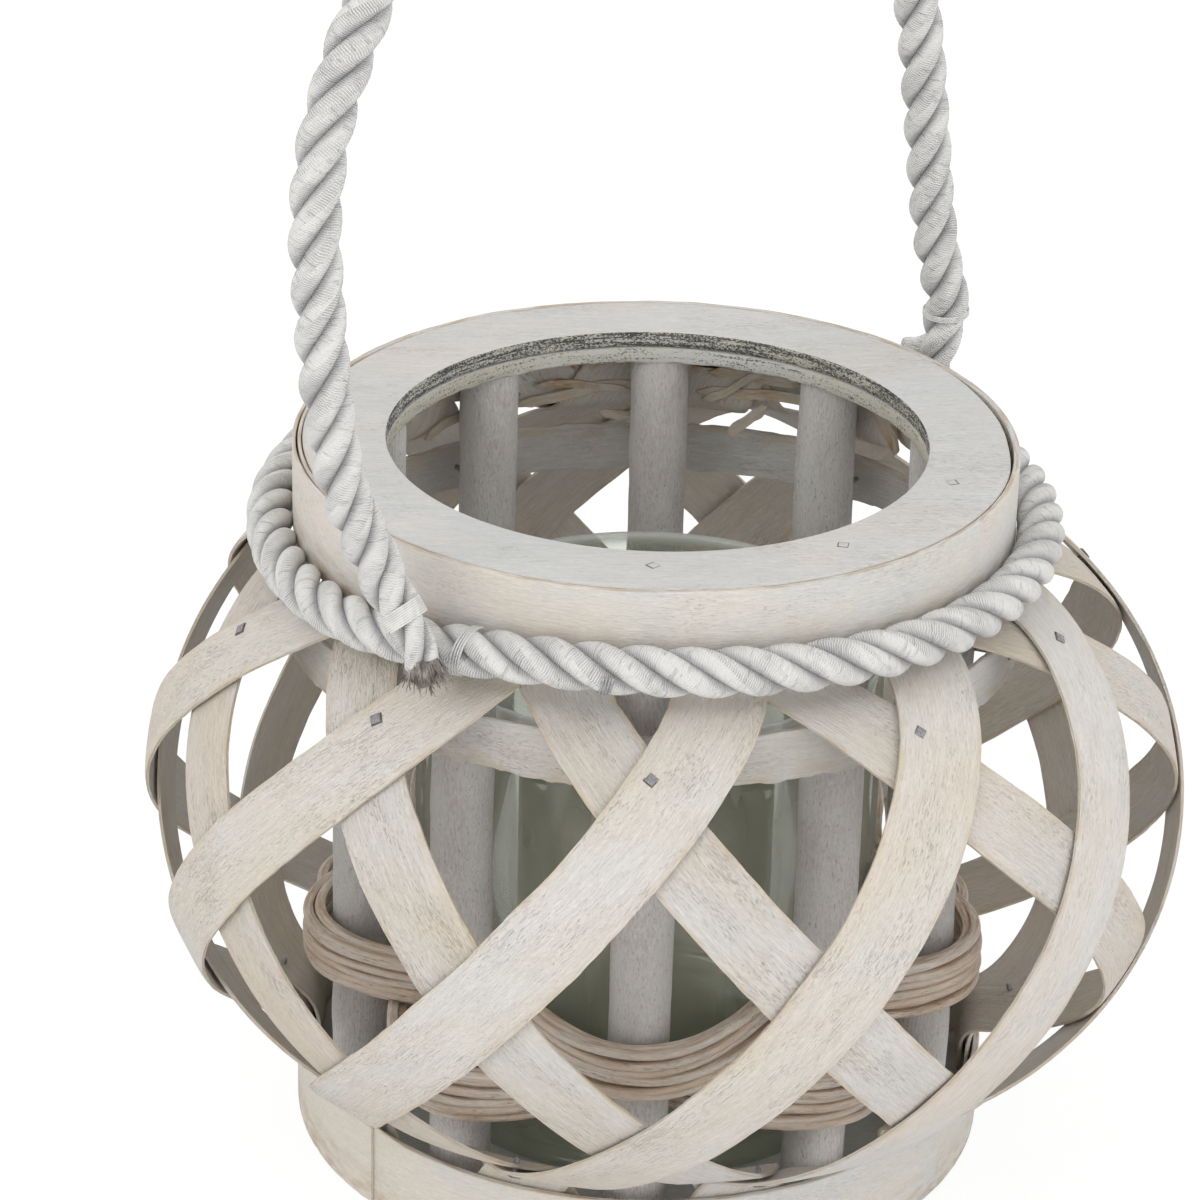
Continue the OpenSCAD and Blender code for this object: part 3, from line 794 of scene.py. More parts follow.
def rim_layers(low, high, seed, name):
    """The long turn of veneer, and the short outer lap over its start."""
    def main_inner(a):
        return ring_r + 0.05 + 0 * a

    def main_outer(a):
        degrees = np.degrees(a) % 360
        begins = step_up(degrees, LAP_START - LAP_FADE, LAP_START)
        ends = step_up(degrees, LAP_END, LAP_END + LAP_FADE)
        return band_r - begins * (1 - ends) * BAND_T * LAP_SHARE

    def lap_inner(a):
        degrees = np.degrees(a)
        part = (degrees - LAP_START) / (LAP_END - LAP_START)
        return band_r - BAND_T * LAP_SHARE + 0.12 + LAP_RISE * np.sin(np.pi * np.clip(part, 0, 1))

    def lap_outer(a):
        return lap_inner(a) + BAND_T * 0.5

    turn = bent_band(name, -80, 280, main_inner, main_outer, low, high, seed)
    lap = bent_band(name + "_lap", LAP_START, LAP_END, lap_inner, lap_outer, low, high + 0.2, seed + 9,
                    0.3, 1.0)
    return turn, lap


rim_turn, rim_lap = rim_layers(band_low_z, top_z, 31, "rim_veneer")
dress(rim_turn, band_wash, "basket", "band_wood", "rim_band")
dress(rim_lap, band_wash, "basket", "band_wood")
base_turn, base_lap = rim_layers(0.15, base_band_z, 51, "base_veneer")
dress(base_turn, band_wash, "basket", "band_wood", "base_band")
dress(base_lap, band_wash, "basket", "band_wood")
hoop = bent_band("neck_hoop_veneer", -30, 330, hoop_in_r + 0.2, hoop_out_r - 0.1, hoop_low_z, hoop_top_z,
                 71, 0.8, 0.7)
dress(hoop, hoop_wash, "basket", "hoop_wood", "neck_hoop")
print("the bands are lapped over", LAP_END - LAP_START, "degrees")

# %% [markdown]
# ## The sticks
# A shoot is never a cylinder: it wanders, swells and has a knot or two where a twig
# was cut off. Each stick is a tube of rings whose middle and radius wander a little,
# with one knot placed at random. The wander stays inside the sawn-off round rod that
# the construction uses.

# %% Make the ten sticks
STICK_COUNT = 10
STICK_SIDES = 40
STICK_RINGS = 72
STICK_BOW = 0.45
STICK_INSET = 0.55


def stick(name, node_name, seed):
    """A shoot with a bow, lumps and one knot, inside the box of its node."""
    low, high = (np.array(c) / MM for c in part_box(node_name))
    middle = (low + high) / 2
    rng = np.random.default_rng(seed)
    z = np.linspace(low[2], high[2], STICK_RINGS)
    bow = np.stack([wander(z / 60 + 5, seed), wander(z / 60 + 9, seed + 1)], 1) * STICK_BOW
    around = np.linspace(0, 2 * np.pi, STICK_SIDES, endpoint=False)
    lump = wander_2d(around[None, :] / (2 * np.pi) * 6, z[:, None] / 14, seed + 2, 6) * 0.22
    lump = lump + wander_2d(around[None, :] / (2 * np.pi) * 16, z[:, None] / 5, seed + 3, 16) * 0.10
    knot_z = rng.uniform(low[2] + 40, high[2] - 30)
    knot_a = rng.uniform(0, 2 * np.pi)
    off = np.angle(np.exp(1j * (around[None, :] - knot_a))) * stick_r
    spread = (off / 3.2) ** 2 + ((z[:, None] - knot_z) / 4.5) ** 2
    lump = lump + 0.9 * np.exp(-spread) - 0.7 * np.exp(-spread * 9)
    radius = stick_r - STICK_INSET + 0.2 * wander(z / 45, seed + 4)[:, None] + lump
    x = middle[0] + bow[:, :1] + radius * np.cos(around)
    y = middle[1] + bow[:, 1:] + radius * np.sin(around)
    rings = np.stack([x, y, np.broadcast_to(z[:, None], x.shape)], -1)
    return skin(name, rings, close_columns(rings) + [seed * 13.0, 0, 0], no_wear(), sharp=60)


for number in range(1, STICK_COUNT + 1):
    node_name = f"upright_{number:02d}"
    piece = stick(f"stick_{number:02d}", node_name, 100 + number * 7)
    dress(piece, stick_wash, "basket", "stick_wood", node_name)
print("sticks:", STICK_COUNT, "radius", round(stick_r, 2))

# %% [markdown]
# ## The shaved strips
# A strip springs from the neck to the belly and back to the foot. Its middle line lies
# on a round basket shape and turns round the basket as it goes, so two strips that
# turn opposite ways cross. The basket's half profile is a power curve for the bulge
# and a tuck behind the band. A strip's section is thin, with soft corners, and cupped
# a little, and its edges are shaved by hand, so they wander.

# %% The basket's profile
BELLY_R = 158.0
BELLY_TOP = 79.0
BELLY_LEAN = 5.5
LEAN_ANGLE = math.radians(-50)
BULGE_POWER = 2.07
ROUND_POWER = 0.75
BULGE_POINTS = 40
BULGE_END = 0.995
TUCK_R = ring_r - 1.6
TUCK_GAP = 2.3
SLOPE_REACH = 0.03


def bulge_radius(u):
    return band_r + (BELLY_R - band_r) * (1 - np.abs(u) ** BULGE_POWER) ** ROUND_POWER


def half_profile(board):
    """Radius and height from the belly to the tuck, which ends short of a board this thick."""
    u = np.sin(np.linspace(0, np.pi / 2, BULGE_POINTS)) * BULGE_END
    bulge = np.stack([bulge_radius(u), u * BELLY_TOP], 1)
    tuck = [(band_r + 0.2, BELLY_TOP + 0.2), (ring_r, BELLY_TOP + 2), (TUCK_R + 0.2, BELLY_TOP + 5.5),
            (TUCK_R, BELLY_TOP + 10), (TUCK_R, mid_z - board - TUCK_GAP)]
    return np.vstack([bulge, tuck])


upper_half = half_profile(top_z - ring_low_z)
lower_half = half_profile(base_t)
whole = np.vstack([upper_half[::-1], lower_half[1:] * [1, -1]])
whole_run = np.concatenate([[0], np.cumsum(np.linalg.norm(np.diff(whole, axis=0), axis=1))])
neck_run = whole_run[len(upper_half) - BULGE_POINTS]
belly_run = whole_run[len(upper_half) - 1]
whole_share = (whole_run - neck_run) / (belly_run - neck_run)
print(f"a strip is about {whole_run[-1]:.0f} mm long before it turns")


def profile_at(share):
    return np.interp(share, whole_share, whole[:, 0]), np.interp(share, whole_share, whole[:, 1])


def basket_line(share):
    """Radius and height above the middle, and the slope, where a strip is `share` of the way:
    0 at the neck, 1 at the belly, 2 at the foot."""
    radius, height = profile_at(share)
    next_r, next_z = profile_at(share + SLOPE_REACH)
    last_r, last_z = profile_at(share - SLOPE_REACH)
    size = np.hypot(next_r - last_r, next_z - last_z)
    return radius, height, (next_r - last_r) / size, (next_z - last_z) / size


def lean_at(height):
    """How far the belly stands off to one side, most at its middle."""
    return BELLY_LEAN * np.sqrt(np.maximum(0, 1 - (height / BELLY_TOP) ** 2))


# %% The strips' sizes and torn ends
STRIP_W = 25.0
STRIP_T = 1.5
LAYER_GAP = 0.8
OUTER_TURN = 12.0
OUTER_TWIST = -30.0
INNER_TURN = -7.0
INNER_TWIST = 31.0
# how far each strip was laid from its even place, in degrees; its foot is back in its even place
OUTER_SHIFT = [12, 9, -1, 0, 4, 0, 2, 1, -4, 8]
INNER_SHIFT = [11, 4, -13, -9, 0, -2, -1, 1, 3, -3]
STRIP_ACROSS = 13
STRIP_STEPS = 132
TORN_ZONE = 0.12
EDGE_INSET = 0.35
SOFT_EDGE = 0.25
STRIP_CUP = 0.22
STRIP_SKEW = 0.22
GRAIN_STRETCH = 1.12
strip_lanes = np.linspace(-1, 1, STRIP_ACROSS)
strip_shares = np.linspace(whole_share[0], whole_share[-1], STRIP_STEPS)


def torn_lanes(seed):
    """Each lane of a strip starts and ends somewhere else. Gives where every point of the lanes
    lies, and how near it is to the top end and to the foot, from 0 to 1."""
    rng = np.random.default_rng(seed)
    top_teeth = rng.uniform(0.15, 1.0, STRIP_ACROSS) * 0.55 + 0.1
    foot_teeth = rng.uniform(0.0, 0.6, STRIP_ACROSS)
    share = strip_shares[:, None] * np.ones((1, STRIP_ACROSS))
    near_top = np.clip((whole_share[0] + TORN_ZONE - share) / TORN_ZONE, 0, 1)
    near_foot = np.clip((share - (whole_share[-1] - TORN_ZONE)) / TORN_ZONE, 0, 1)
    share = share + near_top * TORN_ZONE * top_teeth - near_foot * TORN_ZONE * foot_teeth
    return share, near_top, near_foot


def shaved_edge(place, seed):
    """How far a hand-shaved edge strays along a strip: long waves and short nicks."""
    return wander(strip_shares * 6 + place, seed) * 0.35 + wander(strip_shares * 26, seed + 1) * 0.14


print("a strip is", STRIP_W, "mm wide and", STRIP_T, "mm thick")


# %% Make the strips
def strip(name, turn, twist, shift, depth, seed):
    """A strip that starts `turn` degrees round and turns `twist` degrees from the neck to the belly."""
    lanes = strip_lanes
    lane_share, near_top, near_foot = torn_lanes(seed)
    radius, height, slope_r, slope_z = basket_line(lane_share)
    turn_here = np.radians(turn + twist * lane_share + shift * (1 - step_up(lane_share, 1, 2)))
    lean_rate = radius * math.radians(abs(twist)) / (belly_run - neck_run)
    first_edge = shaved_edge(3, seed + 1)[:, None]
    second_edge = shaved_edge(7, seed + 3)[:, None]
    side = (lanes + 1) / 2
    half_w = STRIP_W / 2 - EDGE_INSET + first_edge * (1 - side) + second_edge * side
    half_angle = half_w * np.sqrt(1 + lean_rate ** 2) / radius
    cup = STRIP_CUP * (lanes ** 2 - 0.4) * wander(strip_shares * 2 + 1, seed + 5)[:, None]
    skew = STRIP_SKEW * wander_2d(lane_share * 3, lanes[None, :] * 1.2 + 5, seed + 6)
    rings = []
    grains = []
    wears = []
    sequence = [(k, -1) for k in range(STRIP_ACROSS)]
    sequence += [(k, 1) for k in range(STRIP_ACROSS - 1, -1, -1)]
    thickness = STRIP_T / 2 - 0.03
    for k, face in sequence:
        lane = lanes[k]
        angle = turn_here[:, k] + half_angle[:, k] * lane
        eased = thickness - (SOFT_EDGE if abs(lane) == 1 else 0.0)
        deep = depth + face * eased + cup[:, k] + skew[:, k]
        flat_r = radius[:, k] + deep * slope_z[:, k]
        lean = lean_at(height[:, k])
        spots = np.stack([flat_r * np.cos(angle) + lean * math.cos(LEAN_ANGLE),
                          flat_r * np.sin(angle) + lean * math.sin(LEAN_ANGLE),
                          mid_z + height[:, k] - deep * slope_r[:, k]], -1)
        rings.append(spots)
        along = lane_share[:, k] * (belly_run - neck_run) * GRAIN_STRETCH
        across = lane * STRIP_W / 2 + 0 * along
        grains.append(np.stack([across, face * STRIP_T / 2 + 0 * along, along], -1))
        edge = 1.0 if abs(lane) == 1 else 0.0
        top_tear = step_up(near_top[:, k], 0.55, 0.95)
        tear = np.maximum(top_tear, 0.6 * step_up(near_foot[:, k], 0.55, 0.95))
        tone = 0.35 * wander(strip_shares * 1.5 + 2, seed + 8)
        wears.append(np.stack([edge + 0 * along, tear, tone], -1))
    rings = np.stack(rings, 1)
    grain = np.stack(grains + grains[:1], 1)
    grain = np.concatenate([grain, grain[-1:]], 0) + [seed * 37.0, 0, seed * 11.0]
    wear_and_shade = np.stack(wears + wears[:1], 1)
    wear_and_shade = np.concatenate([wear_and_shade, wear_and_shade[-1:]], 0)
    return skin(name, rings, grain, wear_and_shade, sharp=50)


for number in range(STICK_COUNT):
    bend = number * 360 / STICK_COUNT
    outer = strip(f"outer_shaving_{number + 1:02d}", OUTER_TURN + bend, OUTER_TWIST,
                  OUTER_SHIFT[number], 0.0, 1000 + number * 31)
    dress(outer, outer_wash, "basket", "outer_strip_wood", f"outer_strip_{number + 1:02d}")
    inner = strip(f"inner_shaving_{number + 1:02d}", INNER_TURN + bend, INNER_TWIST,
                  INNER_SHIFT[number], STRIP_T + LAYER_GAP, 2000 + number * 31)
    dress(inner, inner_wash, "basket", "inner_strip_wood", f"inner_strip_{number + 1:02d}")
print("strips:", 2 * STICK_COUNT, "with", len(outer.data.vertices), "points each")

# %% [markdown]
# ## Torn ends under the ring
# Where the strips are tucked up behind the band they split, and slivers of them lie
# loose between the sticks and the band. Each sliver is a thin curved slat with ragged
# ends. Its places are given as angles round the basket and heights.

# %% Make the slivers
SLIVER_R = 100.2
SLIVER_STEPS = 24
SLIVER_SECTION = [(-0.5, -1), (0.5, -1), (0.6, 0), (0.5, 1), (-0.5, 1), (-0.4, 0)]
# start angle, start height, end angle, end height, width, bare wood, reach inwards
SLIVERS = [(89, 207, 66, 200, 4.5, 1.0, 0.5), (87, 193, 71, 199, 3.2, 0.8, 1.5),
           (67, 196, 43, 200, 3.4, 0.2, 0.6), (63, 203, 45, 199, 2.4, 1.0, 1.6),
           (51, 191, 42, 186, 3.0, 0.4, 1.0), (33, 199, 8, 201, 3.6, 0.5, 0.8),
           (32, 195, 19, 209, 3.0, 0.3, 1.8), (27, 186, 19, 197, 4.4, 0.1, 4.0),
           (31, 205, 13, 206, 4.0, 1.0, 0.4), (-2, 207, -9, 194, 8.0, 0.8, 1.2),
           (110, 200, 92, 206, 4.0, 0.6, 0.6), (140, 203, 122, 197, 3.5, 0.7, 0.8),
           (210, 204, 188, 200, 4.0, 0.6, 0.6), (300, 203, 282, 206, 4.0, 0.7, 0.8)]


def sliver(name, start, low, end, high, width, bare, reach, seed):
    """A thin slat from one angle and height to another, torn at both ends."""
    t = np.linspace(0, 1, SLIVER_STEPS)
    angle = np.radians(start + (end - start) * t)
    height = low + (high - low) * t + 0.8 * wander(t * 3, seed)
    radius = SLIVER_R - reach * (0.5 + 0.5 * wander(t * 2, seed + 1))
    tips = np.minimum(1, np.minimum(t, 1 - t) * 7 + 0.15)
    half = width / 2 * tips * (1 + 0.07 * wander(t * 9, seed + 2))
    split = 0.15 * wander(t * 7, seed + 3)
    rings = np.stack([np.stack([(radius + u) * np.cos(angle), (radius + u) * np.sin(angle),
                                height + v * half + split], -1) for u, v in SLIVER_SECTION], 1)
    run = np.radians(end - start) * SLIVER_R * t
    across = np.array([v * width / 2 for _, v in SLIVER_SECTION + SLIVER_SECTION[:1]])
    across, run = np.broadcast_arrays(across, run[:, None])
    grain = np.stack([across, 0 * across, run], -1)
    grain = np.concatenate([grain, grain[-1:]], 0) + [seed * 19.0, 0, seed * 7.0]
    torn = bare * np.clip(0.5 + 0.7 * wander(t * 5, seed + 4) + 0.6 * (1 - tips), 0, 1)
    wear_and_shade = np.zeros(grain.shape)
    wear_and_shade[:-1, :, 1] = torn[:, None]
    wear_and_shade[..., 0] = 0.8
    return skin(name, rings, grain, wear_and_shade, sharp=50)


for number, values in enumerate(SLIVERS):
    piece = sliver(f"sliver_{number + 1:02d}", *values, 5000 + number * 17)
    dress(piece, inner_wash, "basket", "inner_strip_wood")
print("loose slivers:", len(SLIVERS))

# %% [markdown]
# ## Laid rope
# Three strands wind round each other to the right. Each strand's middle is a helix
# round the rope's own line, so the rope needs a frame that travels along that line
# without spinning: at each step the sideways direction is carried on and made square
# again. The strands are drawn a little fatter than would just touch, because in a
# real rope they press into each other.

# %% Strands of the two ropes
LAY = 41.0
STRAND_R = 3.42
STRAND_SIDES = 18
STRAND_WIDEN = 1.04
STRAND_COUNT = 3
helix_r = ROPE_R - STRAND_R


def carried_frame(line, side):
    """Directions sideways and across for each point of a line."""
    ahead = np.gradient(line, axis=0)
    ahead /= np.linalg.norm(ahead, axis=1)[:, None]
    sides = []
    for way in ahead:
        side = side - way * np.dot(side, way)
        side = side / np.linalg.norm(side)
        sides.append(side)
    sides = np.array(sides)
    return sides, np.cross(ahead, sides)


def around_tube(sides, crosses, count, wide=1.0):
    """Directions out from a line, all the way round it, in `count` steps."""
    around = np.linspace(0, 2 * np.pi, count, endpoint=False)[None, :, None]
    return sides[:, None, :] * np.cos(around) + crosses[:, None, :] * np.sin(around) * wide


def strand_rings(line, sides, crosses, run, phase, squeeze, lay=LAY):
    """Rings of one strand that winds to the right round a line. squeeze scales the rope at each point."""
    turn = phase + 2 * np.pi * run / lay
    helix = helix_r * squeeze
    outward = sides * np.cos(turn)[:, None] + crosses * np.sin(turn)[:, None]
    middle = line + outward * helix[:, None]
    way = np.gradient(middle, axis=0)
    way /= np.linalg.norm(way, axis=1)[:, None]
    lift = outward - way * np.sum(outward * way, 1)[:, None]
    lift /= np.linalg.norm(lift, axis=1)[:, None]
    ring = around_tube(lift, np.cross(way, lift), STRAND_SIDES, wide=STRAND_WIDEN)
    return middle[:, None, :] + ring * (STRAND_R * squeeze)[:, None, None], middle


def strand_grooves():
    """How deep each side of a strand lies in the rope: 0 outside, 1 where the strands meet. The rope's
    finish paints shade into the grooves by it.
    """
    around = np.linspace(0, 2 * np.pi, STRAND_SIDES + 1)
    deep = step_up(1 - np.cos(around), 0.30, 1.05)
    return np.stack([deep, 0 * deep, 0 * deep], -1)[None]


def strand_grain(middle, shift):
    """Grain for a strand: round it, and along it, in millimetres."""
    run = np.concatenate([[0], np.cumsum(np.linalg.norm(np.diff(middle, axis=0), axis=1))])
    around = np.linspace(0, 2 * np.pi * STRAND_R, STRAND_SIDES + 1)
    around, run = np.broadcast_arrays(around[None, :] + shift, run[:, None])
    table = np.stack([around, 0 * around, run], -1)
    return np.concatenate([table, table[-1:]], 0)


print("the strands' middles lie", round(helix_r, 2), "mm from the rope's")


# %% The rope round the neck
neck_turns = round(neck_length / LAY)
neck_lay = neck_length / neck_turns
neck_rope_run = np.linspace(0, neck_length, len(neck_line))
neck_out = np.stack([np.cos(neck_angles), np.sin(neck_angles), 0 * neck_angles], 1)
neck_ahead = np.gradient(neck_line, axis=0)
neck_ahead[0] = neck_ahead[-1] = (neck_line[1] - neck_line[-2])
neck_ahead /= np.linalg.norm(neck_ahead, axis=1)[:, None]
neck_cross = np.cross(neck_ahead, neck_out)
NECK_PHASE = 0.4
full_size = np.ones(len(neck_line))
for number in range(STRAND_COUNT):
    phase = NECK_PHASE + number * 2 * np.pi / STRAND_COUNT
    rings, middle = strand_rings(neck_line, neck_out, neck_cross, neck_rope_run, phase, full_size, neck_lay)
    grain = strand_grain(middle, number * 50.0)[:-1]
    piece = skin(f"neck_strand_{number + 1}", rings[:-1], grain, strand_grooves(), True, sharp=80)
    dress(piece, rope_thread, "basket", "rope", "neck_rope")
print(f"neck rope has {neck_turns} turns, one each {neck_lay:.1f} mm")

# %% The rope handle
bail_run = np.linspace(0, bail_length, len(bail_line))
bail_side, bail_cross = carried_frame(bail_line, np.array([1.0, 0, 0]))
# steps of the near foot that are frayed and not laid
CUT_SHORT = 3
from_end = np.minimum(bail_run, bail_length - bail_run)
end_squeeze = FOOT_SQUEEZE - 0.06
squeeze = end_squeeze + (1 - end_squeeze) * step_up(from_end, 6, 32)
for number in range(STRAND_COUNT):
    phase = number * 2 * np.pi / STRAND_COUNT
    rings, middle = strand_rings(bail_line, bail_side, bail_cross, bail_run, phase, squeeze)
    grain = strand_grain(middle[CUT_SHORT:], 300 + number * 50.0)
    piece = skin(f"handle_strand_{number + 1}", rings[CUT_SHORT:], grain, strand_grooves(), sharp=80)
    dress(piece, rope_thread, "bail", "rope", "bail_rope")
print(f"handle rope has {bail_length / LAY:.1f} turns")

# %% [markdown]
# ## Fibres, threads and wires
# The near end of the handle is cut off and frayed, and at the far end one strand turns
# away behind the neck rope. The feet are bound with a few turns of thread, and thin
# wire grips the neck rope. All are tubes along short paths, so one function makes
# them, with a radius that may taper to a point.

# %% Thin tubes and the handle's ends
FIRST_SIDE = np.array([0.3, 0.5, 0.81])


def thin_tube(name, path, radius, sides=6):
    path = np.asarray(path, float)
    side, cross = carried_frame(path, FIRST_SIDE)
    radius = np.broadcast_to(np.asarray(radius, float), len(path))[:, None, None]
    rings = path[:, None, :] + around_tube(side, cross, sides) * radius
    return skin(name, rings, close_columns(rings), no_wear(), sharp=80)


def frayed_end(name, spot, way, width, length, count, seed):
    """A tuft of fibres that fans out from a cut rope."""
    rng = np.random.default_rng(seed)
    way = np.array(way, float) / np.linalg.norm(way)
    parts = []
    for _ in range(count):
        off = rng.normal(0, 1, 3)
        off -= way * np.dot(off, way)
        off *= width * 0.42 / max(1.0, np.linalg.norm(off))
        reach = length * rng.uniform(0.45, 1.0)
        t = np.linspace(0, 1, 6)[:, None]
        curl = rng.normal(0, 1, 3) * reach * 0.16
        path = spot + off * (1 + 0.35 * t) + way * reach * t + curl * t ** 2
        parts.append(thin_tube("fibre", path, rng.uniform(0.2, 0.45) * (1 - 0.6 * t[:, 0]), 4))
    return join_pieces(name, parts)


foot = bail_line[CUT_SHORT]
tail = frayed_end("cut_rope_end", foot + [0.2, 0.2, 2.5], (0.06, -0.10, -1.0), 10.5, 9.0, 170, 71)
dress(tail, frayed_core, "bail", "rope")
core = np.array([foot + [0, 0, 2.0], foot, foot - [0, 0, 3.0], foot - [-0.3, 0.6, 6.0]])
clump = thin_tube("cut_rope_core", core, [4.2, 4.9, 4.4, 2.2], 14)
dress(clump, frayed_core, "bail", "rope")
STRAY_PLACES = [(0, -2, 27), (-0.3, -1, 21), (-2.0, 4, 17), (-2.8, 9, 16)]
stray = smooth_route(bail_line[-1] + np.array(STRAY_PLACES), 8)
stray_r = np.interp(np.arange(len(stray)), [0, 20, len(stray) - 1], [2.6, 2.6, 2.2])
stray_end = thin_tube("stray_strand", stray, stray_r, 14)
dress(stray_end, rope_thread, "bail", "rope")
print("the frayed end has", len(tail.data.polygons), "faces")


# %% Lashing threads round the feet of the handle
LASHING_STEPS = 40


def lashing(name, spot, way, grip, turns, pitch, radius, seed):
    """Turns of fine thread round a rope foot, none quite square to it."""
    rng = np.random.default_rng(seed)
    way = way / np.linalg.norm(way)
    side = np.cross(way, [0, 1, 0])
    side /= np.linalg.norm(side)
    other = np.cross(way, side)
    t = np.linspace(0, turns, LASHING_STEPS * turns)
    angle = 2 * np.pi * t
    lift = (t - turns / 2) * pitch + 0.35 * np.sin(angle + rng.uniform(0, 6))
    snug = grip + radius - 0.2 + 0.12 * np.sin(3 * angle)
    outward = np.outer(np.cos(angle), side) + np.outer(np.sin(angle), other)
    return thin_tube(name, spot + np.outer(lift, way) + snug[:, None] * outward, radius)


def node_middle(node_name):
    low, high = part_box(node_name)
    return (np.array(low) + np.array(high)) / 2 / MM


for side_name, turns, pitch, thread_r, seed in (("left", 8, 0.62, 0.36, 5), ("right", 4, 0.5, 0.22, 6)):
    spot = node_middle(f"lashing_{side_name}")
    near = int(np.argmin(np.linalg.norm(bail_line - spot, axis=1)))
    way = bail_line[near + 3] - bail_line[near - 3]
    piece = lashing(f"lashing_thread_{side_name}", bail_line[near], way,
                    ROPE_R * squeeze[near], turns, pitch, thread_r, seed)
    dress(piece, lashing_thread, "bail", "thread", f"lashing_{side_name}")
    print(side_name, "foot:", turns, "turns of thread")


# %% Wires on the neck rope
WIRE_R = 0.36
WIRE_PITCH = 0.85
WIRE_BITE = 0.15
WIRE_START = -1.95
WIRE_STEPS = 30
# for each node: angle round the neck in degrees, wires, slant, end in radians round the rope, seed
TIES = {"neck_tie_left": (193, 4, 1.2, 1.95, 1), "neck_tie_front": (214, 4, 1.4, 0.1, 2),
        "neck_tie_right": (349, 4, 1.2, 1.95, 3)}


def wire_band(name, angle_deg, turns, slant, upper, seed):
    """A few fine wires side by side, laid in a groove of the neck rope up to `upper` radians."""
    rng = np.random.default_rng(seed)
    parts = []
    for number in range(turns):
        t = np.linspace(WIRE_START, upper, WIRE_STEPS)
        angle = math.radians(angle_deg) + (number * WIRE_PITCH + slant * t) / neck_rope_r
        angle = angle + rng.normal(0, 0.0006)
        z = np.interp(np.degrees(angle) % 360, np.degrees(neck_angles), neck_z)
        reach = ROPE_R - WIRE_BITE
        radial = neck_rope_r + reach * np.cos(t)
        path = np.stack([radial * np.cos(angle), radial * np.sin(angle), z + reach * np.sin(t)], 1)
        parts.append(thin_tube("wire", path, WIRE_R, 8))
    return join_pieces(name, parts)


for node_name, (angle_deg, turns, slant, upper, seed) in TIES.items():
    piece = wire_band(node_name + "_wire", angle_deg, turns, slant, upper, seed)
    dress(piece, tie_wire if node_name == "neck_tie_front" else pale_wire, "basket", "wire", node_name)
print("wire bands:", len(TIES), "of wire", 2 * WIRE_R, "mm thick")

# %% [markdown]
# ## Woven willow
# Each woven row is a bundle of split shoots that runs outside one stick and inside
# the next. The shoots are half-round and never quite the same width, so dark gaps
# open between them. A strand here follows the row's wave, with its own small offset
# in height and depth, and a section that is flat on one side.

# %% Weave the two rows
WALE_T = 6.5
WALE_CLEAR = 0.9
WALE_STEPS = 420
WALE_LAYERS = 2
WALE_STRANDS = 6
# a split shoot's section, as shares of its thickness and of its height, and its raw corners
WILLOW_SECTION = np.array([(-0.5, -0.46), (0.1, -0.5), (0.42, -0.36), (0.5, -0.08), (0.44, 0.28),
                           (0.2, 0.48), (-0.3, 0.5), (-0.5, 0.4)])
WILLOW_RAW = [0, 1, 5, 6, 7, 8]
first_stick = node_middle("upright_01")
stick_turn = math.atan2(first_stick[1], first_stick[0])
wale_mean_r = stick_circle_r + 0.5
wale_swing = stick_r + WALE_T / 2 + WALE_CLEAR


def willow_strand(name, phase, height, tall, depth, thick, seed):
    """One split shoot that goes all the way round, outside one stick and inside the next."""
    a = np.linspace(0, 2 * np.pi, WALE_STEPS, endpoint=False)
    wave = np.cos((a - stick_turn) * STICK_COUNT / 2 + phase)
    turns = a / (2 * np.pi)
    radius = wale_mean_r + wale_swing * wave + depth * 0.9 + 0.5 * wander(turns * 20, seed, 20)
    z = height + 1.3 * wander(turns * 15, seed + 1, 15) + 0.4 * wander(turns * 40, seed + 2, 40)
    line = np.stack([radius * np.cos(a), radius * np.sin(a), z], 1)
    ahead = np.roll(line, -1, 0) - np.roll(line, 1, 0)
    ahead /= np.linalg.norm(ahead, axis=1)[:, None]
    out = np.cross(ahead, [0, 0, 1])
    out /= np.linalg.norm(out, axis=1)[:, None]
    grow = 1 + 0.10 * wander(turns * 12, seed + 3, 12)
    rings = np.stack([line + out * (u * thick * grow)[:, None] + np.outer(v * tall * grow, [0, 0, 1])
                      for u, v in WILLOW_SECTION], 1)
    corners = np.vstack([WILLOW_SECTION, WILLOW_SECTION[:1]]) * [thick, tall]
    run = np.linspace(0, 2 * np.pi * wale_mean_r * 1.08, WALE_STEPS + 1)
    across, through, along = np.broadcast_arrays(corners[:, 1], corners[:, 0], run[:, None])
    grain = np.stack([across, through, along], -1) + [seed * 21.0, 0, seed * 5.0]
    wear_and_shade = np.zeros(grain.shape)
    wear_and_shade[..., 2] = 0.5 * np.random.default_rng(seed).uniform(-1, 1)
    wear_and_shade[:, WILLOW_RAW, 0] = 0.7
    return skin(name, rings, grain, wear_and_shade, True, sharp=60)


for node_name, phase in (("wale_upper", 0.0), ("wale_lower", math.pi)):
    low, high = (np.array(c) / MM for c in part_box(node_name))
    pitch = (high[2] - low[2]) / WALE_STRANDS
    for layer_number in range(WALE_LAYERS):
        for number in range(WALE_STRANDS):
            seed = 3000 + layer_number * 50 + number * 7 + (400 if node_name == "wale_lower" else 0)
            depth = (layer_number - 0.5) * WALE_T / 2
            height = low[2] + (number + 0.5 + 0.12 * layer_number) * pitch - 0.2
            piece = willow_strand(f"{node_name}_strand_{layer_number + 1}_{number + 1}", phase, height,
                                  pitch * 0.97, depth, WALE_T / 2 * 0.98, seed)
            dress(piece, willow_wash, "basket", "willow", node_name)
print("willow strands:", 2 * WALE_LAYERS * WALE_STRANDS)
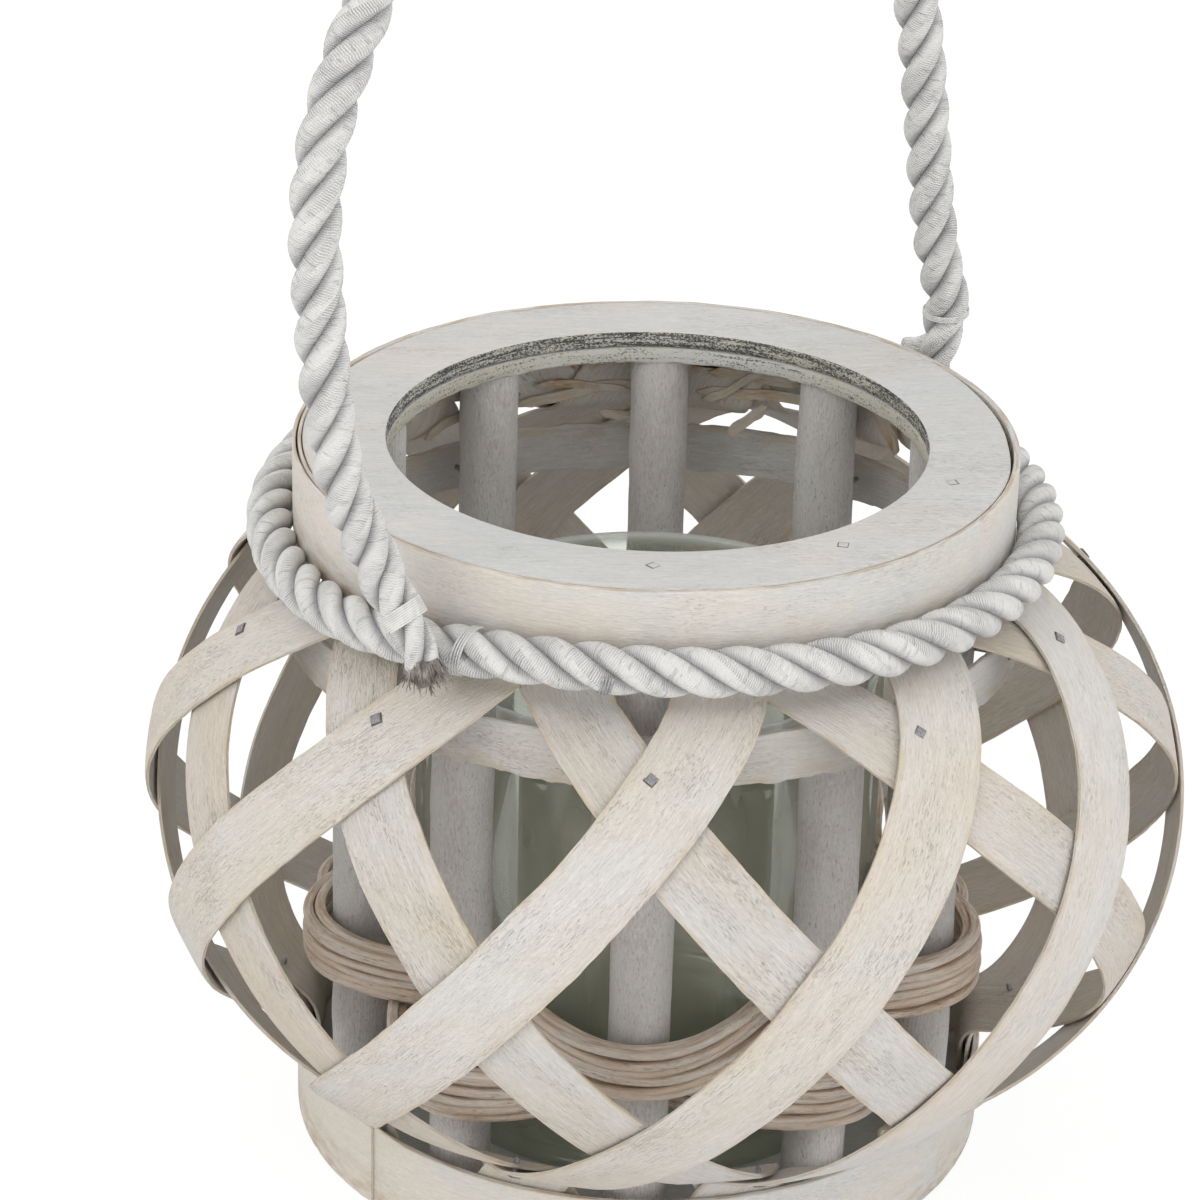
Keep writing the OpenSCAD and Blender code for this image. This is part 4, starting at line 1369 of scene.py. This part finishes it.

# %% [markdown]
# ## Nails
# The brads have small square heads, punched nearly flush, so each sits in a slightly
# bigger dent, whose shade is painted as a thin dark plate round the head. Most of those
# on the ring are sunk deeper and washed over, so they have no dent. A head is a bevelled
# block. The imported nodes hold the nails' true places, one solid each, so the places
# are read from them: points that edges join belong to one nail, and the eight that lie
# farthest from its axis are its head.

# %% Find the nails in their nodes
HEAD_CORNERS = 8


def separate_solids(node_name):
    """The points of each separate solid of a node, in millimetres."""
    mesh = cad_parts[node_name].data
    points = np.round(np.array([v.co for v in mesh.vertices]) / MM, 3)
    spots, index = np.unique(points, axis=0, return_inverse=True)
    ends = index.ravel()[np.array([e.vertices[:] for e in mesh.edges])]
    owner = np.arange(len(spots))
    before = None
    while before is None or (owner != before).any():
        before = owner.copy()
        lowest = owner[ends].min(axis=1)
        np.minimum.at(owner, ends[:, 0], lowest)
        np.minimum.at(owner, ends[:, 1], lowest)
    return [spots[owner == k] for k in np.unique(owner)]


def nail_stance(solid):
    """Middle of a nail's head, the way it faces, one corner's direction and the length below it."""
    middle = solid.mean(axis=0)
    way = np.linalg.svd(solid - middle)[2][0]
    reach = (solid - middle) @ way
    off_axis = np.linalg.norm(solid - middle - np.outer(reach, way), axis=1)
    corners = solid[np.argsort(off_axis)[-HEAD_CORNERS:]]
    head = corners.mean(axis=0)
    way = way * np.sign((head - middle) @ way)
    corner = corners[0] - head
    corner = corner - way * (corner @ way)
    length = ((head - solid) @ way).max()
    return head, way, corner / np.linalg.norm(corner), length


print("nails found in neck_nails:", len(separate_solids("neck_nails")))

# %% Make the nails
HEAD_SIDE = 2.8
HEAD_T = 0.5
SHANK_R = 0.85
# the ring brads between these angles are bare, and wash covers the others
BARE_BRADS = (200, 310)
PAINTED_SINK = 0.55
HEAD_TWIST = 0.16
DENT_SLIP = 0.22
# height above a plate's middle in millimetres, and share of its width there
HEAD_STEPS = [(-0.25, 0.98), (0.10, 1.0), (0.20, 0.9), (0.25, 0.55)]
DENT_STEPS = [(-0.4, 0.9), (0.0, 1.0), (0.04, 0.98)]
SQUARE = [(1, 0), (1, 1), (0, 1), (-1, 1), (-1, 0), (-1, -1), (0, -1), (1, -1)]


def square_block(name, centre, way, corner, half, steps):
    """A square plate whose sides face the given corner direction."""
    other = np.cross(way, corner)
    rings = np.array([[centre + way * rise + half * share * (u * corner + v * other) for u, v in SQUARE]
                      for rise, share in steps])
    return skin(name, rings, close_columns(rings), no_wear(), sharp=30)


def make_nails(node_name, steel, sink, hole_side):
    """All the nails of a node, sunk by `sink`, and thin dark plates round the bare heads, painted as the
    shade of the dent round each.
    """
    rng = np.random.default_rng(len(node_name) + int(hole_side * 10))
    nails = []
    dent_shades = []
    for solid in separate_solids(node_name):
        head, way, corner, length = nail_stance(solid)
        around = math.degrees(math.atan2(head[1], head[0])) % 360
        painted = node_name == "ring_brads" and not BARE_BRADS[0] < around < BARE_BRADS[1]
        turn = rng.normal(0, HEAD_TWIST)
        corner = corner * math.cos(turn) + np.cross(way, corner) * math.sin(turn)
        seat = head - way * (PAINTED_SINK if painted else sink)
        nails.append(square_block("nail", seat, way, corner, HEAD_SIDE / 2, HEAD_STEPS))
        shank = np.array([head - way * s for s in (0.3 + sink, length * 0.8, length)])
        nails.append(thin_tube("shank", shank, [SHANK_R, SHANK_R, SHANK_R * 0.3], 10))
        if painted:
            continue
        # painted shade: a thin dark plate round each bare head, slipped a little to one side, stands for the
        # shade in its dent
        slip = DENT_SLIP * (corner * rng.uniform(-1, 1) + np.cross(way, corner) * rng.uniform(-1, 1))
        rim = head - way * (HEAD_T / 2 - 0.03) + slip
        dent_shades.append(square_block("dent", rim, way, corner, hole_side / 2, DENT_STEPS))
    dress(join_pieces(node_name + "_heads", nails), steel, "basket", "nail_steel", node_name)
    dress(join_pieces(node_name + "_dents", dent_shades), nail_dent_shade, "basket", "nail_steel")


make_nails("ring_brads", washed_steel, 0.36, 3.1)
for node_name in ("hoop_nails", "neck_nails", "foot_nails"):
    make_nails(node_name, nail_steel, 0.0, 3.5)
plain_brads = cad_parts["base_brads"]
plain_brads.data.materials.clear()
plain_brads.data.materials.append(nail_steel)
print("a nail head is", HEAD_SIDE, "mm wide and", HEAD_T, "mm thick")

# %% [markdown]
# ## Glass
# The cylinder is drawn from its outline: up the outside, over a rounded rim, down the
# inside and in over the floor. Both ends of the outline close as flat discs.

# %% Make the glass cylinder
GLASS_WALL = 3.0
GLASS_FLOOR = 4.0
FOOT_ROUND = 3.0
FLOOR_ROUND = 4.0
GLASS_STEPS = 160


def arc(centre_r, centre_z, radius, start, end, steps):
    turn = np.radians(np.linspace(start, end, steps))
    return [(centre_r + radius * math.cos(t), centre_z + radius * math.sin(t)) for t in turn]


def wall(radius, start, end):
    """Eight points up or down a straight wall."""
    return [(radius, z) for z in np.linspace(start, end, 8)]


glass_in_r = glass_r - GLASS_WALL
floor_z = glass_low_z + GLASS_FLOOR
rim_r = GLASS_WALL / 2
glass_outline = [(glass_r - 8, glass_low_z)]
glass_outline += arc(glass_r - FOOT_ROUND, glass_low_z + FOOT_ROUND, FOOT_ROUND, -80, 0, 6)
glass_outline += wall(glass_r, glass_low_z + 12, glass_top_z - 8)
glass_outline += arc(glass_r - rim_r, glass_top_z - rim_r, rim_r, 0, 180, 11)
glass_outline += wall(glass_in_r, glass_top_z - 8, floor_z + 12)
glass_outline += arc(glass_in_r - FLOOR_ROUND, floor_z + FLOOR_ROUND, FLOOR_ROUND, 0, -80, 7)
glass_outline += [(glass_in_r - 12, floor_z)]
glass_angles = np.linspace(0, 2 * np.pi, GLASS_STEPS, endpoint=False)
glass_rings = np.stack([turned([s], glass_angles)[:, 0] for s in glass_outline])
glass = skin("glass_wall", glass_rings, close_columns(glass_rings), sharp=60)
dress(glass, lantern_glass, "glass", "glass", "glass_cylinder")
print(f"glass {2 * glass_r:.0f} mm across and {glass_top_z - glass_low_z:.0f} mm high")

# %% [markdown]
# ## Studio
# A pale floor under an even white surround, with three soft lamps: one high up on the
# left, a low one straight in front and one in front on the right. The floor is part
# dull paper, which takes the lantern's shadow, and part plain white glow, which is
# there only for rays from the camera, off gloss or through glass. So the background
# stays white and the glow puts no light on the lantern.

# %% Floor
FLOOR_REACH = 4.0
FLOOR_PALE = 0.85
FLOOR_GLOW = 0.82
GLOW_STRENGTH = 1.07


def seen_directly(tree):
    """1 for rays from the camera, off gloss or through glass, and 0 for light that bounces on."""
    paths = add(tree, "LightPath", {})
    seen = maths(tree, "MAXIMUM", paths.outputs["Is Camera Ray"], paths.outputs["Is Glossy Ray"])
    return maths(tree, "MAXIMUM", seen, paths.outputs["Is Transmission Ray"])


floor_mesh = bpy.data.meshes.new("floor")
floor_corners = [(x * FLOOR_REACH, y * FLOOR_REACH, 0) for x, y in ((-1, -1), (1, -1), (1, 1), (-1, 1))]
floor_mesh.from_pydata(floor_corners, [], [(0, 1, 2, 3)])
floor = bpy.data.objects.new("floor", floor_mesh)
bpy.context.scene.collection.objects.link(floor)
paper_colour = (FLOOR_PALE, FLOOR_PALE, FLOOR_PALE, 1)
floor_material, floor_tree, paper = new_finish("pale_floor", 1.0, Base_Color=paper_colour,
                                               Specular_IOR_Level=0.0)
glow = add(floor_tree, "Emission", {"Color": WHITE, "Strength": GLOW_STRENGTH})
glow_share = maths(floor_tree, "MULTIPLY", seen_directly(floor_tree), FLOOR_GLOW)
blend = add(floor_tree, "MixShader", {0: glow_share, 1: paper.outputs[0], 2: glow.outputs[0]})
floor_tree.links.new(blend.outputs[0], floor_tree.nodes["Material Output"].inputs["Surface"])
floor_mesh.materials.append(floor_material)
print("the floor is", 2 * FLOOR_REACH, "m wide")

# %% World and lamps
# how bright the surround is as a light; it is always 1 where it is seen
WORLD_LIGHT = 1.0
world = bpy.data.worlds.new("studio")
bpy.context.scene.world = world
world.use_nodes = True
sky = world.node_tree
for old in list(sky.nodes):
    sky.nodes.remove(old)
sky_strength = mask(sky, seen_directly(sky), 0.0, 1.0, WORLD_LIGHT, 1.0)
backdrop = add(sky, "Background", {"Color": WHITE, "Strength": sky_strength})
add(sky, "OutputWorld", {"Surface": backdrop.outputs[0]})


def soft_lamp(name, place, aim, size, power):
    """A round lamp; size and place in metres, power in watts."""
    lamp_data = bpy.data.lights.new(name, "AREA")
    lamp_data.shape = "DISK"
    lamp_data.size = size
    lamp_data.energy = power
    lamp = bpy.data.objects.new(name, lamp_data)
    lamp.location = place
    lamp.rotation_euler = (Vector(aim) - Vector(place)).to_track_quat("-Z", "Y").to_euler()
    bpy.context.scene.collection.objects.link(lamp)


soft_lamp("key", (-1.6, 0.05, 1.35), (0, 0, 0.15), 0.9, 5)
soft_lamp("front", (-1.3, -1.3, 0.35), (0, 0, 0.12), 1.0, 3.5)
soft_lamp("fill", (0.1, -1.9, 0.7), (0, 0, 0.12), 1.2, 4)
bpy.context.scene.view_settings.view_transform = "Standard"
print("lamps:", len(bpy.data.lights))
